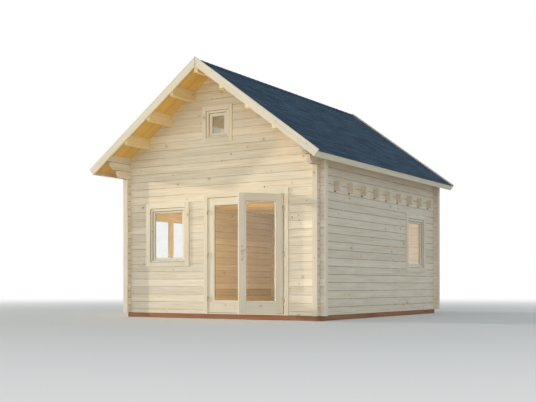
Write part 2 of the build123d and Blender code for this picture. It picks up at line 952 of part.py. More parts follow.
# Windows: local x runs along the wall, local y into the cabin
window_planes = {
    "front": Plane(
        origin=(front_window_centre, at_y(0), at_z(window_low)),
        x_dir=(1, 0, 0),
        z_dir=(0, 0, 1),
    ),
    "right": Plane(
        origin=(half_width, at_y(right_window_centre), at_z(side_window_low)),
        x_dir=(0, 1, 0),
        z_dir=(0, 0, 1),
    ),
    "left": Plane(
        origin=(-half_width, at_y(left_window_centre), at_z(side_window_low)),
        x_dir=(0, -1, 0),
        z_dir=(0, 0, 1),
    ),
    "loft": Plane(origin=(0, at_y(0), at_z(loft_window_low)), x_dir=(1, 0, 0), z_dir=(0, 0, 1)),
}
frame_y = (0, log_thickness)
sash_y = (sash_front, sash_front + sash_thickness)
glass_y = (glass_front, glass_front + glass_thickness)
frame_low = seat_gap
frame_top_edge = window_height - settling_gap
sash_low = frame_low + frame_bottom + sash_play
sash_high = frame_top_edge - frame_head - sash_play
loft_height = loft_window_high - loft_window_low
loft_frame_top_edge = loft_height - loft_settling_gap
loft_sash_low = frame_low + loft_frame_bottom + sash_play
loft_sash_high = loft_frame_top_edge - loft_frame_head - sash_play
single_half = window_opening_half - frame_play
double_half = left_window_opening_half - frame_play
loft_half = loft_window_opening_half - frame_play
single_sash_half = single_half - frame_side - sash_play
double_sash_near = mullion_half + sash_play
double_sash_far = double_half - frame_side - sash_play
double_sash_centre = (double_sash_near + double_sash_far) / 2
double_sash_half = (double_sash_far - double_sash_near) / 2
loft_sash_half = loft_half - loft_frame_side - sash_play

with BuildPart() as window_frames:
    for name, half in (("front", single_half), ("right", single_half), ("left", double_half)):
        with Locations(window_planes[name].location):
            ring(half, frame_low, frame_top_edge, frame_side, frame_bottom, frame_head, *frame_y)
    with Locations(window_planes["left"].location):
        block(
            (-mullion_half, mullion_half),
            frame_y,
            (frame_low + frame_bottom + seat_gap, frame_top_edge - frame_head - seat_gap),
        )
    with Locations(window_planes["loft"].location):
        ring(
            loft_half,
            frame_low,
            loft_frame_top_edge,
            loft_frame_side,
            loft_frame_bottom,
            loft_frame_head,
            *frame_y,
        )
window_frames.part.label = "window_frames"
export_step(window_frames.part, "parts/window_frames.step")

with BuildPart() as window_sashes:
    for name in ("front", "right"):
        with Locations(window_planes[name].location):
            ring(single_sash_half, sash_low, sash_high, sash_side, sash_bottom, sash_top, *sash_y)
    for side in (-1, 1):
        with Locations(window_planes["left"].location):
            with Locations((side * double_sash_centre, 0, 0)):
                ring(
                    double_sash_half,
                    sash_low,
                    sash_high,
                    sash_side,
                    sash_bottom,
                    sash_top,
                    *sash_y,
                )
    with Locations(window_planes["loft"].location):
        ring(
            loft_sash_half,
            loft_sash_low,
            loft_sash_high,
            loft_sash_side,
            loft_sash_bottom,
            loft_sash_top,
            *sash_y,
        )
window_sashes.part.label = "window_sashes"
export_step(window_sashes.part, "parts/window_sashes.step")

with BuildPart() as window_glass:
    gap = seat_gap
    heights = (sash_low + sash_bottom + gap, sash_high - sash_top - gap)
    reach = single_sash_half - sash_side - gap
    for name in ("front", "right"):
        with Locations(window_planes[name].location):
            block((-reach, reach), glass_y, heights)
    reach = double_sash_half - sash_side - gap
    for side in (-1, 1):
        with Locations(window_planes["left"].location):
            with Locations((side * double_sash_centre, 0, 0)):
                block((-reach, reach), glass_y, heights)
    reach = loft_sash_half - loft_sash_side - gap
    with Locations(window_planes["loft"].location):
        block(
            (-reach, reach),
            glass_y,
            (loft_sash_low + loft_sash_bottom + gap, loft_sash_high - loft_sash_top - gap),
        )
window_glass.part.label = "window_glass"
export_step(window_glass.part, "parts/window_glass.step")

casing_high = window_height + casing_above
loft_casing_high = loft_height + loft_casing_above

with BuildPart() as window_casings:
    for y in ((-casing_thickness, 0), (log_thickness, log_thickness + casing_thickness)):
        for name, opening in (
            ("front", window_opening_half),
            ("right", window_opening_half),
            ("left", left_window_opening_half),
        ):
            with Locations(window_planes[name].location):
                ring(
                    opening - casing_cover + window_casing_side,
                    -casing_below,
                    casing_high,
                    window_casing_side,
                    casing_bottom,
                    casing_head,
                    *y,
                )
        with Locations(window_planes["loft"].location):
            ring(
                loft_window_opening_half - loft_casing_cover + loft_casing_side,
                -loft_casing_below,
                loft_casing_high,
                loft_casing_side,
                loft_casing_bottom,
                loft_casing_head,
                *y,
            )
window_casings.part.label = "window_casings"
export_step(window_casings.part, "parts/window_casings.step")


def drip_bar(plane, centre, half, level):
    """A sloping bar that leads water from the sash over the frame's lower rail."""
    start = plane.from_local_coords((centre - half, 0, 0))
    back = sash_y[0] - seat_gap
    with BuildSketch(Plane(origin=start, x_dir=plane.y_dir, z_dir=plane.x_dir)) as outline:
        Polygon(
            (-drip_reach, level - drip_drop),
            (-drip_reach, level - drip_drop + drip_nose),
            (back, level + drip_rise),
            (back, level),
            (frame_y[0], level),
            (frame_y[0], level - drip_drop),
            align=None,
        )
    extrude(outline.sketch, amount=2 * half)


with BuildPart() as window_drip_bars:
    for name, centre, half, level in (
        ("front", 0, single_sash_half, sash_low),
        ("right", 0, single_sash_half, sash_low),
        ("left", -double_sash_centre, double_sash_half, sash_low),
        ("left", double_sash_centre, double_sash_half, sash_low),
        ("loft", 0, loft_sash_half, loft_sash_low),
    ):
        drip_bar(window_planes[name], centre, half - drip_inset, level)
window_drip_bars.part.label = "window_drip_bars"
export_step(window_drip_bars.part, "parts/window_drip_bars.step")
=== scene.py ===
import json
import math
import random

import bmesh
import bpy
from mathutils import Matrix, Vector

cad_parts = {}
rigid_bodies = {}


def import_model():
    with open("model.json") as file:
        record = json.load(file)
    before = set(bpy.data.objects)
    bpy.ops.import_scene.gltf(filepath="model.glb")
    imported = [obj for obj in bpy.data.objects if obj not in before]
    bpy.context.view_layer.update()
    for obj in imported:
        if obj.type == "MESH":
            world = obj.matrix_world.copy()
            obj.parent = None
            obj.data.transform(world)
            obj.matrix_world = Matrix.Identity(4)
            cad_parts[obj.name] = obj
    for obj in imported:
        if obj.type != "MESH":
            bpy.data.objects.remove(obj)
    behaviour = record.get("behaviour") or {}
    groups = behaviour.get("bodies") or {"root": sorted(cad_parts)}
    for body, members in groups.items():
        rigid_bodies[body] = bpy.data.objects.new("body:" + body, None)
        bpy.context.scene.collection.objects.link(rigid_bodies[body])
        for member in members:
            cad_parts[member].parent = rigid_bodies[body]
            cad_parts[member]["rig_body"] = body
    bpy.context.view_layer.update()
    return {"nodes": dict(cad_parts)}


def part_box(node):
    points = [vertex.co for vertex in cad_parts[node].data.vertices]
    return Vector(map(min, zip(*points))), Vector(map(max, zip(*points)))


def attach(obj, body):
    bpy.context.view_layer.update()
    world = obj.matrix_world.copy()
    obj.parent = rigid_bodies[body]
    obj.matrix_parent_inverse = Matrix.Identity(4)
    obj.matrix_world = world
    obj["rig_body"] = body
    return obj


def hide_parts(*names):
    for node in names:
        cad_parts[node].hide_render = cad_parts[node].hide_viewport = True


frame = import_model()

cad = frame["nodes"]
scene = bpy.context.scene
chance = random.Random(7)

# Places and sizes taken over from the part, in metres
# A log's height, and the foot of the side walls' lowest logs
LOG, WALL_FOOT = 0.135, 0.08
# Outer faces of the front wall, the casings, the side walls and the barge boards
FRONT_Y, CASING_Y, SIDE_X, BARGE_Y = -2.285, -2.305, 2.0, 2.945
# Middles of the side walls' logs, and of the logs in the front and in the back wall
SIDE_MIDDLE, END_MIDDLES = 1.965, (-2.25, 2.68)
# Roof: its pitch, the height where the boards' undersides meet, the length of its slope
# with the eave board, and half the length of its ridge
PITCH, RIDGE, SLOPE, ROOF_Y = math.radians(36.4), 4.316, 2.866, 2.917
# Door: how far the right leaf stands open, the hinge lines, the heights of the hinges
LEAF_ANGLE = math.radians(49.5)
HINGE_Y, RIGHT_HINGE_X, LEFT_HINGE_X = -2.313, 1.3415, -0.1985
HINGE_HEIGHTS = (0.34, 1.09, 1.84)


# Small helpers for node trees
def rgb(red, green, blue):
    """A screen colour, 0 to 255, as the linear colour that sockets take."""
    def linear(value):
        value /= 255
        return value / 12.92 if value <= 0.04045 else ((value + 0.055) / 1.055) ** 2.4
    return (linear(red), linear(green), linear(blue), 1.0)


class Tree:
    """Short ways to add nodes to a material or a group and to join them."""

    def __init__(self, tree):
        self.tree = tree

    def node(self, kind, *values, **settings):
        """A new node with its settings; values go into its first sockets in their order."""
        made = self.tree.nodes.new(kind)
        for name, value in settings.items():
            setattr(made, name, value)
        for value, socket in zip(values, made.inputs):
            self.join(value, socket)
        return made

    def join(self, value, socket):
        if isinstance(value, bpy.types.NodeSocket):
            self.tree.links.new(value, socket)
        else:
            socket.default_value = value

    def fill(self, node, **sockets):
        """Gives sockets of a node their values or joins; an underscore stands for a space."""
        for name, value in sockets.items():
            self.join(value, node.inputs[name.replace("_", " ")])
        return node

    def math(self, operation, *values, clamp=False):
        return self.node("ShaderNodeMath", *values, operation=operation, use_clamp=clamp).outputs[0]

    def add(self, a, b):
        return self.math("ADD", a, b)

    def sub(self, a, b):
        return self.math("SUBTRACT", a, b)

    def mul(self, a, b):
        return self.math("MULTIPLY", a, b)

    def step(self, value, low, high, start=0.0, end=1.0):
        """Smooth step of value from low to high."""
        values = (value, low, high, start, end)
        return self.node("ShaderNodeMapRange", *values, interpolation_type="SMOOTHSTEP").outputs[0]

    def mix(self, factor, a, b):
        """Colour a where factor is 0 and colour b where it is 1."""
        made = self.node("ShaderNodeMix", data_type="RGBA")
        self.join(factor, made.inputs[0])
        self.join(a, made.inputs[6])
        self.join(b, made.inputs[7])
        return made.outputs[2]

    def either(self, factor, a, b):
        """Shader a where factor is 0 and shader b where it is 1."""
        return self.node("ShaderNodeMixShader", factor, a, b).outputs[0]

    def show(self, shader, output="Material Output"):
        """Puts a shader on the surface of the material or the world."""
        self.join(shader, self.tree.nodes[output].inputs[0])

    def split(self, vector):
        return self.node("ShaderNodeSeparateXYZ", vector).outputs[:3]

    def vector(self, x, y, z):
        return self.node("ShaderNodeCombineXYZ", x, y, z).outputs[0]

    def noise(self, vector, scale, detail=2.0, rough=0.5):
        made = self.node("ShaderNodeTexNoise")
        self.fill(made, Vector=vector, Scale=scale, Detail=detail, Roughness=rough)
        return made.outputs["Fac"]

    def white(self, vector):
        """Random value and random red, green, blue for each vector."""
        made = self.node("ShaderNodeTexWhiteNoise", vector, noise_dimensions="3D")
        parts = self.node("ShaderNodeSeparateColor", made.outputs["Color"])
        return made.outputs["Value"], parts.outputs[:3]

    def attribute(self, name, output="Fac"):
        return self.node("ShaderNodeAttribute", attribute_name=name).outputs[output]

    def here(self):
        return self.node("ShaderNodeTexCoord").outputs["Object"]


def material(name, **sockets):
    """A material with a Principled shader; returns the material, its tree and the shader."""
    made = bpy.data.materials.new(name)
    made.use_nodes = True
    t = Tree(made.node_tree)
    return made, t, t.fill(made.node_tree.nodes["Principled BSDF"], **sockets)


def bump(t, shader, height, strength, distance):
    made = t.fill(t.node("ShaderNodeBump"), Strength=strength, Distance=distance, Height=height)
    t.fill(shader, Normal=made.outputs[0])


# Wood: growth rings, fibres and knots of one board, cut from a solid
def wood_group():
    group = bpy.data.node_groups.new("SolidWood", "ShaderNodeTree")
    for way, kind, names in (
        ("INPUT", "Vector", ("Place",)),
        ("INPUT", "Color", ("Early", "Late", "Knot")),
        ("INPUT", "Float", ("Seed", "Width", "Ring", "Knots", "Contrast")),
        ("OUTPUT", "Color", ("Color",)),
        ("OUTPUT", "Float", ("Height",)),
    ):
        for name in names:
            group.interface.new_socket(name, in_out=way, socket_type="NodeSocket" + kind)
    t = Tree(group)
    given = t.node("NodeGroupInput").outputs
    seed = given["Seed"]
    along, across, depth = t.split(given["Place"])
    value, (red, green, blue) = t.white(t.vector(seed, 3.7, 9.1))

    drift = t.add(t.mul(along, 0.8), t.mul(seed, 3.3))
    warp = t.sub(t.noise(t.vector(drift, t.mul(across, 4), t.mul(depth, 4)), 1.0), 0.5)

    # Knots, at most one in each stretch of the board, with radii from least up by spread
    stretch, least, spread = 0.34, 0.0035, 0.013
    place = t.add(t.math("DIVIDE", along, stretch), t.mul(green, 9))
    cell = t.math("FLOOR", place)
    has, (ka, kc, ks) = t.white(t.vector(cell, seed, 1.3))
    near = t.sub(t.sub(place, cell), t.add(0.2, t.mul(ka, 0.6)))
    near = t.mul(near, stretch * 0.8)
    beside = t.sub(across, t.mul(t.mul(t.sub(kc, 0.5), given["Width"]), 0.74))
    far = t.math("SQRT", t.add(t.mul(near, near), t.mul(beside, beside)))
    size = t.add(least, t.mul(t.math("POWER", ks, 2.5), spread))
    has = t.math("LESS_THAN", has, given["Knots"])
    knot = t.mul(has, t.step(far, size, t.mul(size, 0.7)))
    heart = t.mul(has, t.step(far, t.mul(size, 0.7), t.mul(size, 0.25)))
    halo = t.mul(has, t.step(far, t.mul(size, 5), t.mul(size, 0.8)))

    u = t.add(t.add(across, t.mul(t.sub(red, 0.5), 0.08)), t.mul(warp, 0.035))
    v = t.add(t.add(depth, t.add(0.01, t.mul(blue, 0.05))), t.mul(warp, 0.012))
    radius = t.math("SQRT", t.add(t.mul(u, u), t.mul(v, v)))
    radius = t.add(radius, t.mul(halo, 0.006))
    ring = t.math("FRACT", t.math("DIVIDE", radius, given["Ring"]))
    late = t.mul(t.step(ring, 0.25, 0.85), t.step(ring, 1.0, 0.9))

    fibre = t.noise(t.vector(t.mul(along, 7), t.mul(across, 300), t.mul(depth, 300)), 1.0, 3.0)
    fibre = t.sub(fibre, 0.5)
    broad = t.noise(t.vector(t.mul(along, 1.6), t.mul(across, 9), t.add(depth, seed)), 1.0, 3.0)
    broad = t.sub(broad, 0.5)
    streak = t.noise(t.vector(t.mul(along, 2.2), t.mul(across, 60), t.add(depth, seed)), 1.0, 2.0)
    streak = t.step(streak, 0.5, 0.75)
    flame = t.noise(
        t.vector(t.mul(along, 1.1), t.mul(across, 26), t.mul(t.add(depth, seed), 1.7)), 1.0, 2.0, 0.6
    )
    flame = t.mul(t.step(flame, 0.46, 0.64), given["Contrast"])

    shade = t.mul(late, given["Contrast"])
    shade = t.add(shade, t.mul(streak, 0.22))
    shade = t.add(shade, t.mul(flame, 0.55))
    shade = t.add(shade, t.mul(halo, 0.45))
    colour = t.mix(t.math("MINIMUM", shade, 1.0), given["Early"], given["Late"])
    tone = t.add(1.03, t.mul(t.sub(value, 0.5), 0.15))
    tone = t.add(tone, t.mul(fibre, 0.12))
    tone = t.add(tone, t.mul(broad, 0.2))
    bright = t.fill(t.node("ShaderNodeVectorMath", colour, operation="SCALE"), Scale=tone)
    dark = t.mix(heart, given["Knot"], given["Late"])
    colour = t.mix(t.mul(knot, 0.88), bright.outputs[0], dark)
    height = t.sub(t.mul(fibre, 0.7), t.mul(late, 0.5))
    height = t.sub(height, t.mul(knot, 0.8))
    t.fill(t.node("NodeGroupOutput"), Color=colour, Height=height)
    return group


WOOD = wood_group()


def in_board(t):
    """Place of a point in a board whose mesh carries it."""
    return t.attribute("grain", "Vector"), t.attribute("seed"), t.attribute("width")


def wood(
    name, early, late, knot, place=in_board,
    ring=0.0042, knots=0.3, contrast=0.5, rough=0.62, groove_dust_and_shade=None,
):
    """A wood material; place gives the sockets of where a point is in its board."""
    made, t, shader = material(name, Roughness=rough, Specular_IOR_Level=0.3)
    spot, seed, width = place(t)
    use = t.node("ShaderNodeGroup")
    use.node_tree = WOOD
    t.fill(use, Place=spot, Seed=seed, Width=width, Ring=ring, Knots=knots, Contrast=contrast)
    t.fill(use, Early=rgb(*early), Late=rgb(*late), Knot=rgb(*knot))
    colour = use.outputs["Color"]
    # The grooves between logs get dust and painted shade here.
    if groove_dust_and_shade:
        colour = groove_dust_and_shade(t, colour)
    t.fill(shader, Base_Color=colour)
    bump(t, shader, use.outputs["Height"], 0.35, 0.0008)
    return made


def in_log(axis, first, middles):
    """Place of a point in the stacked logs that run along X or Y."""
    def place(t):
        x, y, z = t.split(t.here())
        along, depth = (x, y) if axis == "X" else (y, x)
        course = t.math("FLOOR", t.math("DIVIDE", t.sub(z, first), LOG))
        local = t.sub(t.sub(z, first), t.mul(t.add(course, 0.5), LOG))
        inside = t.math("MINIMUM", *(t.math("ABSOLUTE", t.sub(depth, m)) for m in middles))
        seed = t.add(t.mul(course, 1.37), t.mul(t.math("SIGN", depth), 31.7))
        return t.vector(along, local, inside), seed, LOG
    return place


# The shade of a groove starts and is full this far from the joint of two logs
GROOVE, GROOVE_CORE = 0.0062, 0.003


def log_joint(first, least, most):
    """Dust and shade in the groove between two logs, from least to most strong."""
    def joint(t, colour):
        x, y, z = t.split(t.here())
        course = t.math("FRACT", t.math("DIVIDE", t.sub(z, first), LOG))
        edge = t.mul(t.math("ABSOLUTE", t.sub(course, 0.5)), LOG)
        shade = t.step(edge, LOG / 2 - GROOVE, LOG / 2 - GROOVE_CORE)
        dust = t.noise(t.vector(t.mul(x, 5), t.mul(y, 5), course), 1.0, 3.0)
        shade = t.mul(shade, t.step(dust, 0.3, 0.7, least, most))
        return t.mix(shade, colour, rgb(126, 90, 48))
    return joint


# Colours of early wood, late wood and knots; the end walls' logs lie half a log higher
LOG_COLOURS = ((241, 233, 217), (222, 201, 164), (88, 58, 36))
SIDE_FIRST, END_FIRST = WALL_FOOT, WALL_FOOT + LOG / 2
# The side walls' grooves get stronger painted shade than those of the front and the back wall.
log_side = wood(
    "log_side", *LOG_COLOURS, in_log("Y", SIDE_FIRST, (-SIDE_MIDDLE, SIDE_MIDDLE)),
    knots=0.13, groove_dust_and_shade=log_joint(SIDE_FIRST, 0.26, 0.8),
)
log_end = wood(
    "log_end", *LOG_COLOURS, in_log("X", END_FIRST, END_MIDDLES),
    knots=0.13, groove_dust_and_shade=log_joint(END_FIRST, 0.08, 0.44),
)
board_wood = wood(
    "board_wood", (241, 233, 215), (224, 206, 172), (118, 82, 50), knots=0.1, contrast=0.42
)
joinery_wood = wood(
    "joinery_wood", (239, 231, 213), (224, 209, 182), (150, 112, 72),
    ring=0.003, knots=0.04, contrast=0.4, rough=0.5,
)
purlin_wood = wood("purlin_wood", (252, 232, 184), (238, 204, 142), (116, 74, 38))
soffit_wood = wood(
    "soffit_wood", (230, 190, 112), (218, 172, 90), (118, 70, 32), knots=0.2, contrast=0.4
)
floor_wood = wood("floor_wood", (216, 186, 138), (190, 148, 96), (110, 70, 38), knots=0.25)
joist_wood = wood("joist_wood", (238, 226, 204), (216, 198, 162), (104, 66, 34), knots=0.12)
beam_wood = wood(
    "beam_wood", (172, 124, 92), (138, 94, 66), (84, 54, 36),
    knots=0.2, contrast=0.7, rough=0.75,
)


# Roof covering, metals, glass
def shingle_material():
    """Grey blue grit with weather streaks, darker at the lower edge of each tab."""
    made, t, shader = material("bitumen_shingle", Roughness=0.92, Specular_IOR_Level=0.15)
    here = t.here()
    x, y, z = t.split(here)
    tone = t.attribute("seed")
    streak = t.noise(t.vector(t.mul(x, 14), t.mul(y, 1.7), t.mul(z, 14)), 1.0, 3.0, 0.6)
    patch = t.noise(here, 1.3, 3.0)
    grain = t.fill(t.node("ShaderNodeTexVoronoi", feature="F1"), Vector=here, Scale=420)
    speck = t.node("ShaderNodeSeparateColor", grain.outputs["Color"])
    level = t.add(t.mul(tone, 0.42), t.mul(t.step(streak, 0.3, 0.72), 0.5))
    level = t.add(level, t.mul(t.sub(patch, 0.5), 0.35))
    level = t.add(level, t.mul(t.sub(speck.outputs[0], 0.5), 0.42))
    colour = t.mix(t.math("ADD", level, 0.0, clamp=True), rgb(36, 56, 76), rgb(71, 96, 117))
    colour = t.mix(t.mul(t.attribute("edge"), 0.55), colour, rgb(18, 25, 34))
    t.fill(shader, Base_Color=colour)
    bump(t, shader, grain.outputs["Distance"], 0.5, 0.0012)
    return made


def steel_material(name, colour, rough, metal=1.0):
    """Brushed or plated metal with faint wear."""
    made, t, shader = material(name, Metallic=metal)
    here = t.here()
    fine = t.noise(here, 900.0, 2.0)
    broad = t.noise(here, 14.0, 3.0)
    rough = t.add(rough - 0.08, t.mul(fine, 0.16))
    low = tuple(c * 0.82 for c in colour)
    colour = t.mix(t.step(broad, 0.3, 0.7), rgb(*low), rgb(*colour))
    t.fill(shader, Roughness=rough, Base_Color=colour)
    return made


def coated_material():
    """Pale satin aluminium of the rain bars, a little dusty."""
    made, t, shader = material("coated_aluminium", Roughness=0.4, Metallic=0.25)
    dust = t.noise(t.here(), 11.0, 3.0)
    fine = t.noise(t.here(), 500.0, 2.0)
    colour = t.mix(t.step(dust, 0.3, 0.75), rgb(244, 243, 238), rgb(229, 226, 217))
    t.fill(shader, Base_Color=colour)
    bump(t, shader, fine, 0.15, 0.0002)
    return made


def glass_material():
    """Clear panes with a little dust; lamps shine through them."""
    made, t, shader = material("clear_glass", Roughness=0.0, IOR=1.45, Transmission_Weight=1.0)
    here = t.here()
    wave = t.noise(here, 0.9, 1.0)
    dust = t.noise(here, 6.0, 3.0)
    colour = t.mix(t.step(dust, 0.35, 0.8), (0.97, 0.985, 0.98, 1), (0.93, 0.95, 0.945, 1))
    t.fill(shader, Base_Color=colour)
    bump(t, shader, wave, 0.05, 0.002)
    clear = t.fill(t.node("ShaderNodeBsdfTransparent"), Color=(0.96, 0.97, 0.96, 1))
    shadow = t.node("ShaderNodeLightPath").outputs["Is Shadow Ray"]
    t.show(t.either(shadow, shader.outputs[0], clear.outputs[0]))
    return made


# Dark rubber of the seals; the same material makes the painted shade strips and patches in gaps, slots
# and under the joists.
def seal_and_shade_material():
    made, t, shader = material("dark_seal_and_painted_shade", Roughness=0.7)
    fine = t.noise(t.here(), 260.0, 2.0)
    t.fill(shader, Base_Color=t.mix(fine, rgb(86, 70, 48), rgb(112, 94, 68)))
    bump(t, shader, fine, 0.2, 0.0003)
    return made


def knot_material():
    """Dead knots that stand out on the planed logs."""
    made, t, shader = material("dead_knot", Roughness=0.7)
    fine = t.noise(t.here(), 160.0, 3.0)
    colour = t.mix(t.step(fine, 0.35, 0.65), rgb(74, 50, 32), rgb(116, 82, 52))
    t.fill(shader, Base_Color=colour)
    bump(t, shader, fine, 0.3, 0.0006)
    return made


shingle = shingle_material()
steel = steel_material("brushed_steel", (216, 210, 198), 0.3)
zinc = steel_material("zinc_plate", (222, 210, 184), 0.5, 0.12)
coated = coated_material()
glass = glass_material()
seal_and_shade = seal_and_shade_material()
knot = knot_material()


# Objects and meshes
def new_object(name, data):
    obj = bpy.data.objects.new(name, data)
    scene.collection.objects.link(obj)
    return obj


def mesh_object(name, bm, mat):
    mesh = bpy.data.meshes.new(name)
    bm.to_mesh(mesh)
    bm.free()
    mesh.materials.append(mat)
    return new_object(name, mesh)


def finish_piece(name, bm, mat, body, slot=None, replaces=()):
    """Makes the object of a piece and lets it ride on its body."""
    obj = mesh_object(name, bm, mat)
    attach(obj, body)
    if replaces:
        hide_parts(*replaces)
    return obj


def turn_outward(bm):
    bmesh.ops.recalc_face_normals(bm, faces=bm.faces[:])


def layers(bm):
    """Layers for the place of a point in its board, the board's number and its width."""
    return (
        bm.verts.layers.float_vector.new("grain"),
        bm.verts.layers.float.new("seed"),
        bm.verts.layers.float.new("width"),
    )


def soften(bm, edges, size):
    """Rounds edges in two steps."""
    bmesh.ops.bevel(
        bm, geom=edges, offset=size, segments=2, profile=0.5, affect="EDGES", clamp_overlap=True
    )


def loose_parts(bm):
    """The separate boards of a mesh, each as a list of its points."""
    left = set(bm.verts)
    for start in bm.verts:
        if start not in left:
            continue
        left.remove(start)
        part, reached = [start], [start]
        while reached:
            v = reached.pop()
            for e in v.link_edges:
                o = e.other_vert(v)
                if o in left:
                    left.remove(o)
                    part.append(o)
                    reached.append(o)
        yield part


# How a board can lie: square to the walls, on either slope, or in the open leaf
TURNS = [
    Matrix.Identity(3),
    Matrix.Rotation(PITCH, 3, "Y"),
    Matrix.Rotation(-PITCH, 3, "Y"),
    Matrix.Rotation(-LEAF_ANGLE, 3, "Z"),
]
# A turn is taken where it brings the box round the board below this share of the best so far
SMALLER = 0.995
# Boards get numbers from 0 to this, and each number gives a grain of its own
SEEDS = 90


def mark_grain(bm):
    """Stores for every board of a mesh where each point lies in it."""
    grain, seed, width = layers(bm)
    for part in loose_parts(bm):
        best = None
        for turn in TURNS:
            points = [turn @ v.co for v in part]
            low = Vector(min(p[i] for p in points) for i in range(3))
            high = Vector(max(p[i] for p in points) for i in range(3))
            size = high - low
            volume = size.x * size.y * size.z
            if best is None or volume < best[0] * SMALLER:
                best = (volume, turn, low, high, size)
        _, turn, low, high, size = best
        order = sorted(range(3), key=lambda i: -size[i])
        middle = (low + high) / 2
        number = chance.uniform(0, SEEDS)
        for v in part:
            p = turn @ v.co - middle
            v[grain] = (p[order[0]], p[order[1]], p[order[2]])
            v[seed] = number
            v[width] = size[order[1]]


# Points nearer than WELD become one, faces flatter than FLAT become one,
# and edges sharper than SHARP are softened
WELD, FLAT, SHARP = 2e-5, math.radians(0.6), 0.5


def dress(node, name, mat, slot, bevel):
    """Stands for a CAD node: the same boards with softened edges and their own grain."""
    bm = bmesh.new()
    bm.from_mesh(cad[node].data)
    bmesh.ops.remove_doubles(bm, verts=bm.verts[:], dist=WELD)
    bmesh.ops.dissolve_limit(bm, angle_limit=FLAT, verts=bm.verts[:], edges=bm.edges[:])
    turn_outward(bm)
    sharp = [e for e in bm.edges if len(e.link_faces) == 2 and e.calc_face_angle(0) > SHARP]
    soften(bm, sharp, bevel)
    mark_grain(bm)
    finish_piece(name, bm, mat, cad[node]["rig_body"], slot, (node,))


def box(bm, low, high, turn=None, bevel=0.0):
    """A box between two corners, turned by a 4x4 matrix or with softened edges."""
    verts = bmesh.ops.create_cube(bm, size=1.0)["verts"]
    low, high = Vector(low), Vector(high)
    for v in verts:
        v.co = Vector(low[i] + (v.co[i] + 0.5) * (high[i] - low[i]) for i in range(3))
        if turn is not None:
            v.co = turn @ v.co
    if bevel:
        soften(bm, list(dict.fromkeys(e for v in verts for e in v.link_edges)), bevel)


def bridge(bm, rings):
    """Faces between each ring of points and the next one."""
    for one, two in zip(rings, rings[1:]):
        count = len(one)
        for k in range(count):
            bm.faces.new((one[k], one[(k + 1) % count], two[(k + 1) % count], two[k]))


def close_ends(bm, rings):
    """Faces over the first and the last ring."""
    bm.faces.new(rings[0][::-1])
    bm.faces.new(rings[-1])


def tube(bm, points, radii, sides):
    """A round bar with flat ends; radii has a radius for each of its points."""
    points = [Vector(p) for p in points]
    last = len(points) - 1
    rings = []
    up = Vector((0, 0, 1))
    for i, p in enumerate(points):
        ahead = (points[min(i + 1, last)] - points[max(i - 1, 0)]).normalized()
        if abs(ahead.dot(up)) > 0.95:
            up = Vector((1, 0, 0))
        side = ahead.cross(up).normalized()
        up = side.cross(ahead).normalized()
        rings.append([
            bm.verts.new(p + (side * math.cos(a) + up * math.sin(a)) * radii[i])
            for a in (2 * math.pi * k / sides for k in range(sides))
        ])
    bridge(bm, rings)
    close_ends(bm, rings)


FORWARD = (0, -1, 0)


def screw_head(bm, place, out, radius=0.0045, height=0.0012, sides=8):
    """A low domed head standing on a surface; out is the surface's direction."""
    place, out = Vector(place), Vector(out).normalized()
    sunk = 0.001
    levels = (place - out * sunk, place + out * height * 0.6, place + out * height)
    tube(bm, levels, (radius, radius, radius * 0.55), sides)


def slope(along, out, side):
    """A point of the roof: along the slope from the ridge, out from the boards' underside."""
    return (
        side * (along * math.cos(PITCH) + out * math.sin(PITCH)),
        RIDGE - along * math.sin(PITCH) + out * math.cos(PITCH),
    )


def ridge(out):
    """The point over the ridge line of a layer at this distance from the boards' underside."""
    return (0.0, RIDGE + out / math.cos(PITCH))


# Pieces that stay as the part has them and only get their material
def paint(nodes, mat):
    for node in nodes:
        for place in cad[node].material_slots:
            place.material = mat


paint(("left_wall", "right_wall"), log_side)
paint(("front_wall_left", "front_wall_right", "front_wall_over_door", "front_gable"), log_end)
paint(("back_wall", "back_gable"), log_end)
paint(("right_door_glass", "left_door_glass", "window_glass"), glass)
paint(("frame_hinges", "right_door_hinges", "left_door_hinges"), zinc)

# Boards and beams: CAD node, piece, material, slot, width of the softened edges
BOARD, JOINERY = (board_wood, "trim_boards"), (joinery_wood, "joinery")
for node, name, mat, slot, bevel in (
    ("foundation_beams", "base_beams", beam_wood, "treated_beams", 0.004),
    ("floor_joists", "floor_bearers", beam_wood, "treated_beams", 0.002),
    ("corner_boards", "corner_trim", *BOARD, 0.0018),
    ("loft_joists", "loft_beams", joist_wood, "roof_timber", 0.002),
    ("loft_floor", "loft_deck", floor_wood, "floor", 0.001),
    ("ridge_purlin", "ridge_beam", purlin_wood, "roof_timber", 0.004),
    ("side_purlins", "roof_purlins", purlin_wood, "roof_timber", 0.004),
    ("front_barge_boards", "front_barge_trim", *BOARD, 0.0035),
    ("back_barge_boards", "back_barge_trim", *BOARD, 0.0035),
    ("eave_boards", "eave_trim", *BOARD, 0.0015),
    ("door_frame", "door_lining", *JOINERY, 0.0018),
    ("door_casing", "door_architrave", *BOARD, 0.0018),
    ("right_door_leaf", "right_leaf_frame", *JOINERY, 0.0025),
    ("left_door_leaf", "left_leaf_frame", *JOINERY, 0.0025),
    ("window_frames", "window_linings", *JOINERY, 0.0018),
    ("window_sashes", "window_lights", *JOINERY, 0.0025),
    ("window_casings", "window_architraves", *BOARD, 0.0018),
    ("window_drip_bars", "rain_bars", coated, "drip_metal", 0.0025),
    ("door_threshold", "door_sill", joist_wood, "floor", 0.003),
):
    dress(node, name, mat, slot, bevel)

# Floor boards: width, half the joint between two, width of the softened edges
FLOOR_BOARD, FLOOR_JOINT, FLOOR_EDGE = 0.114, 0.0003, 0.0012


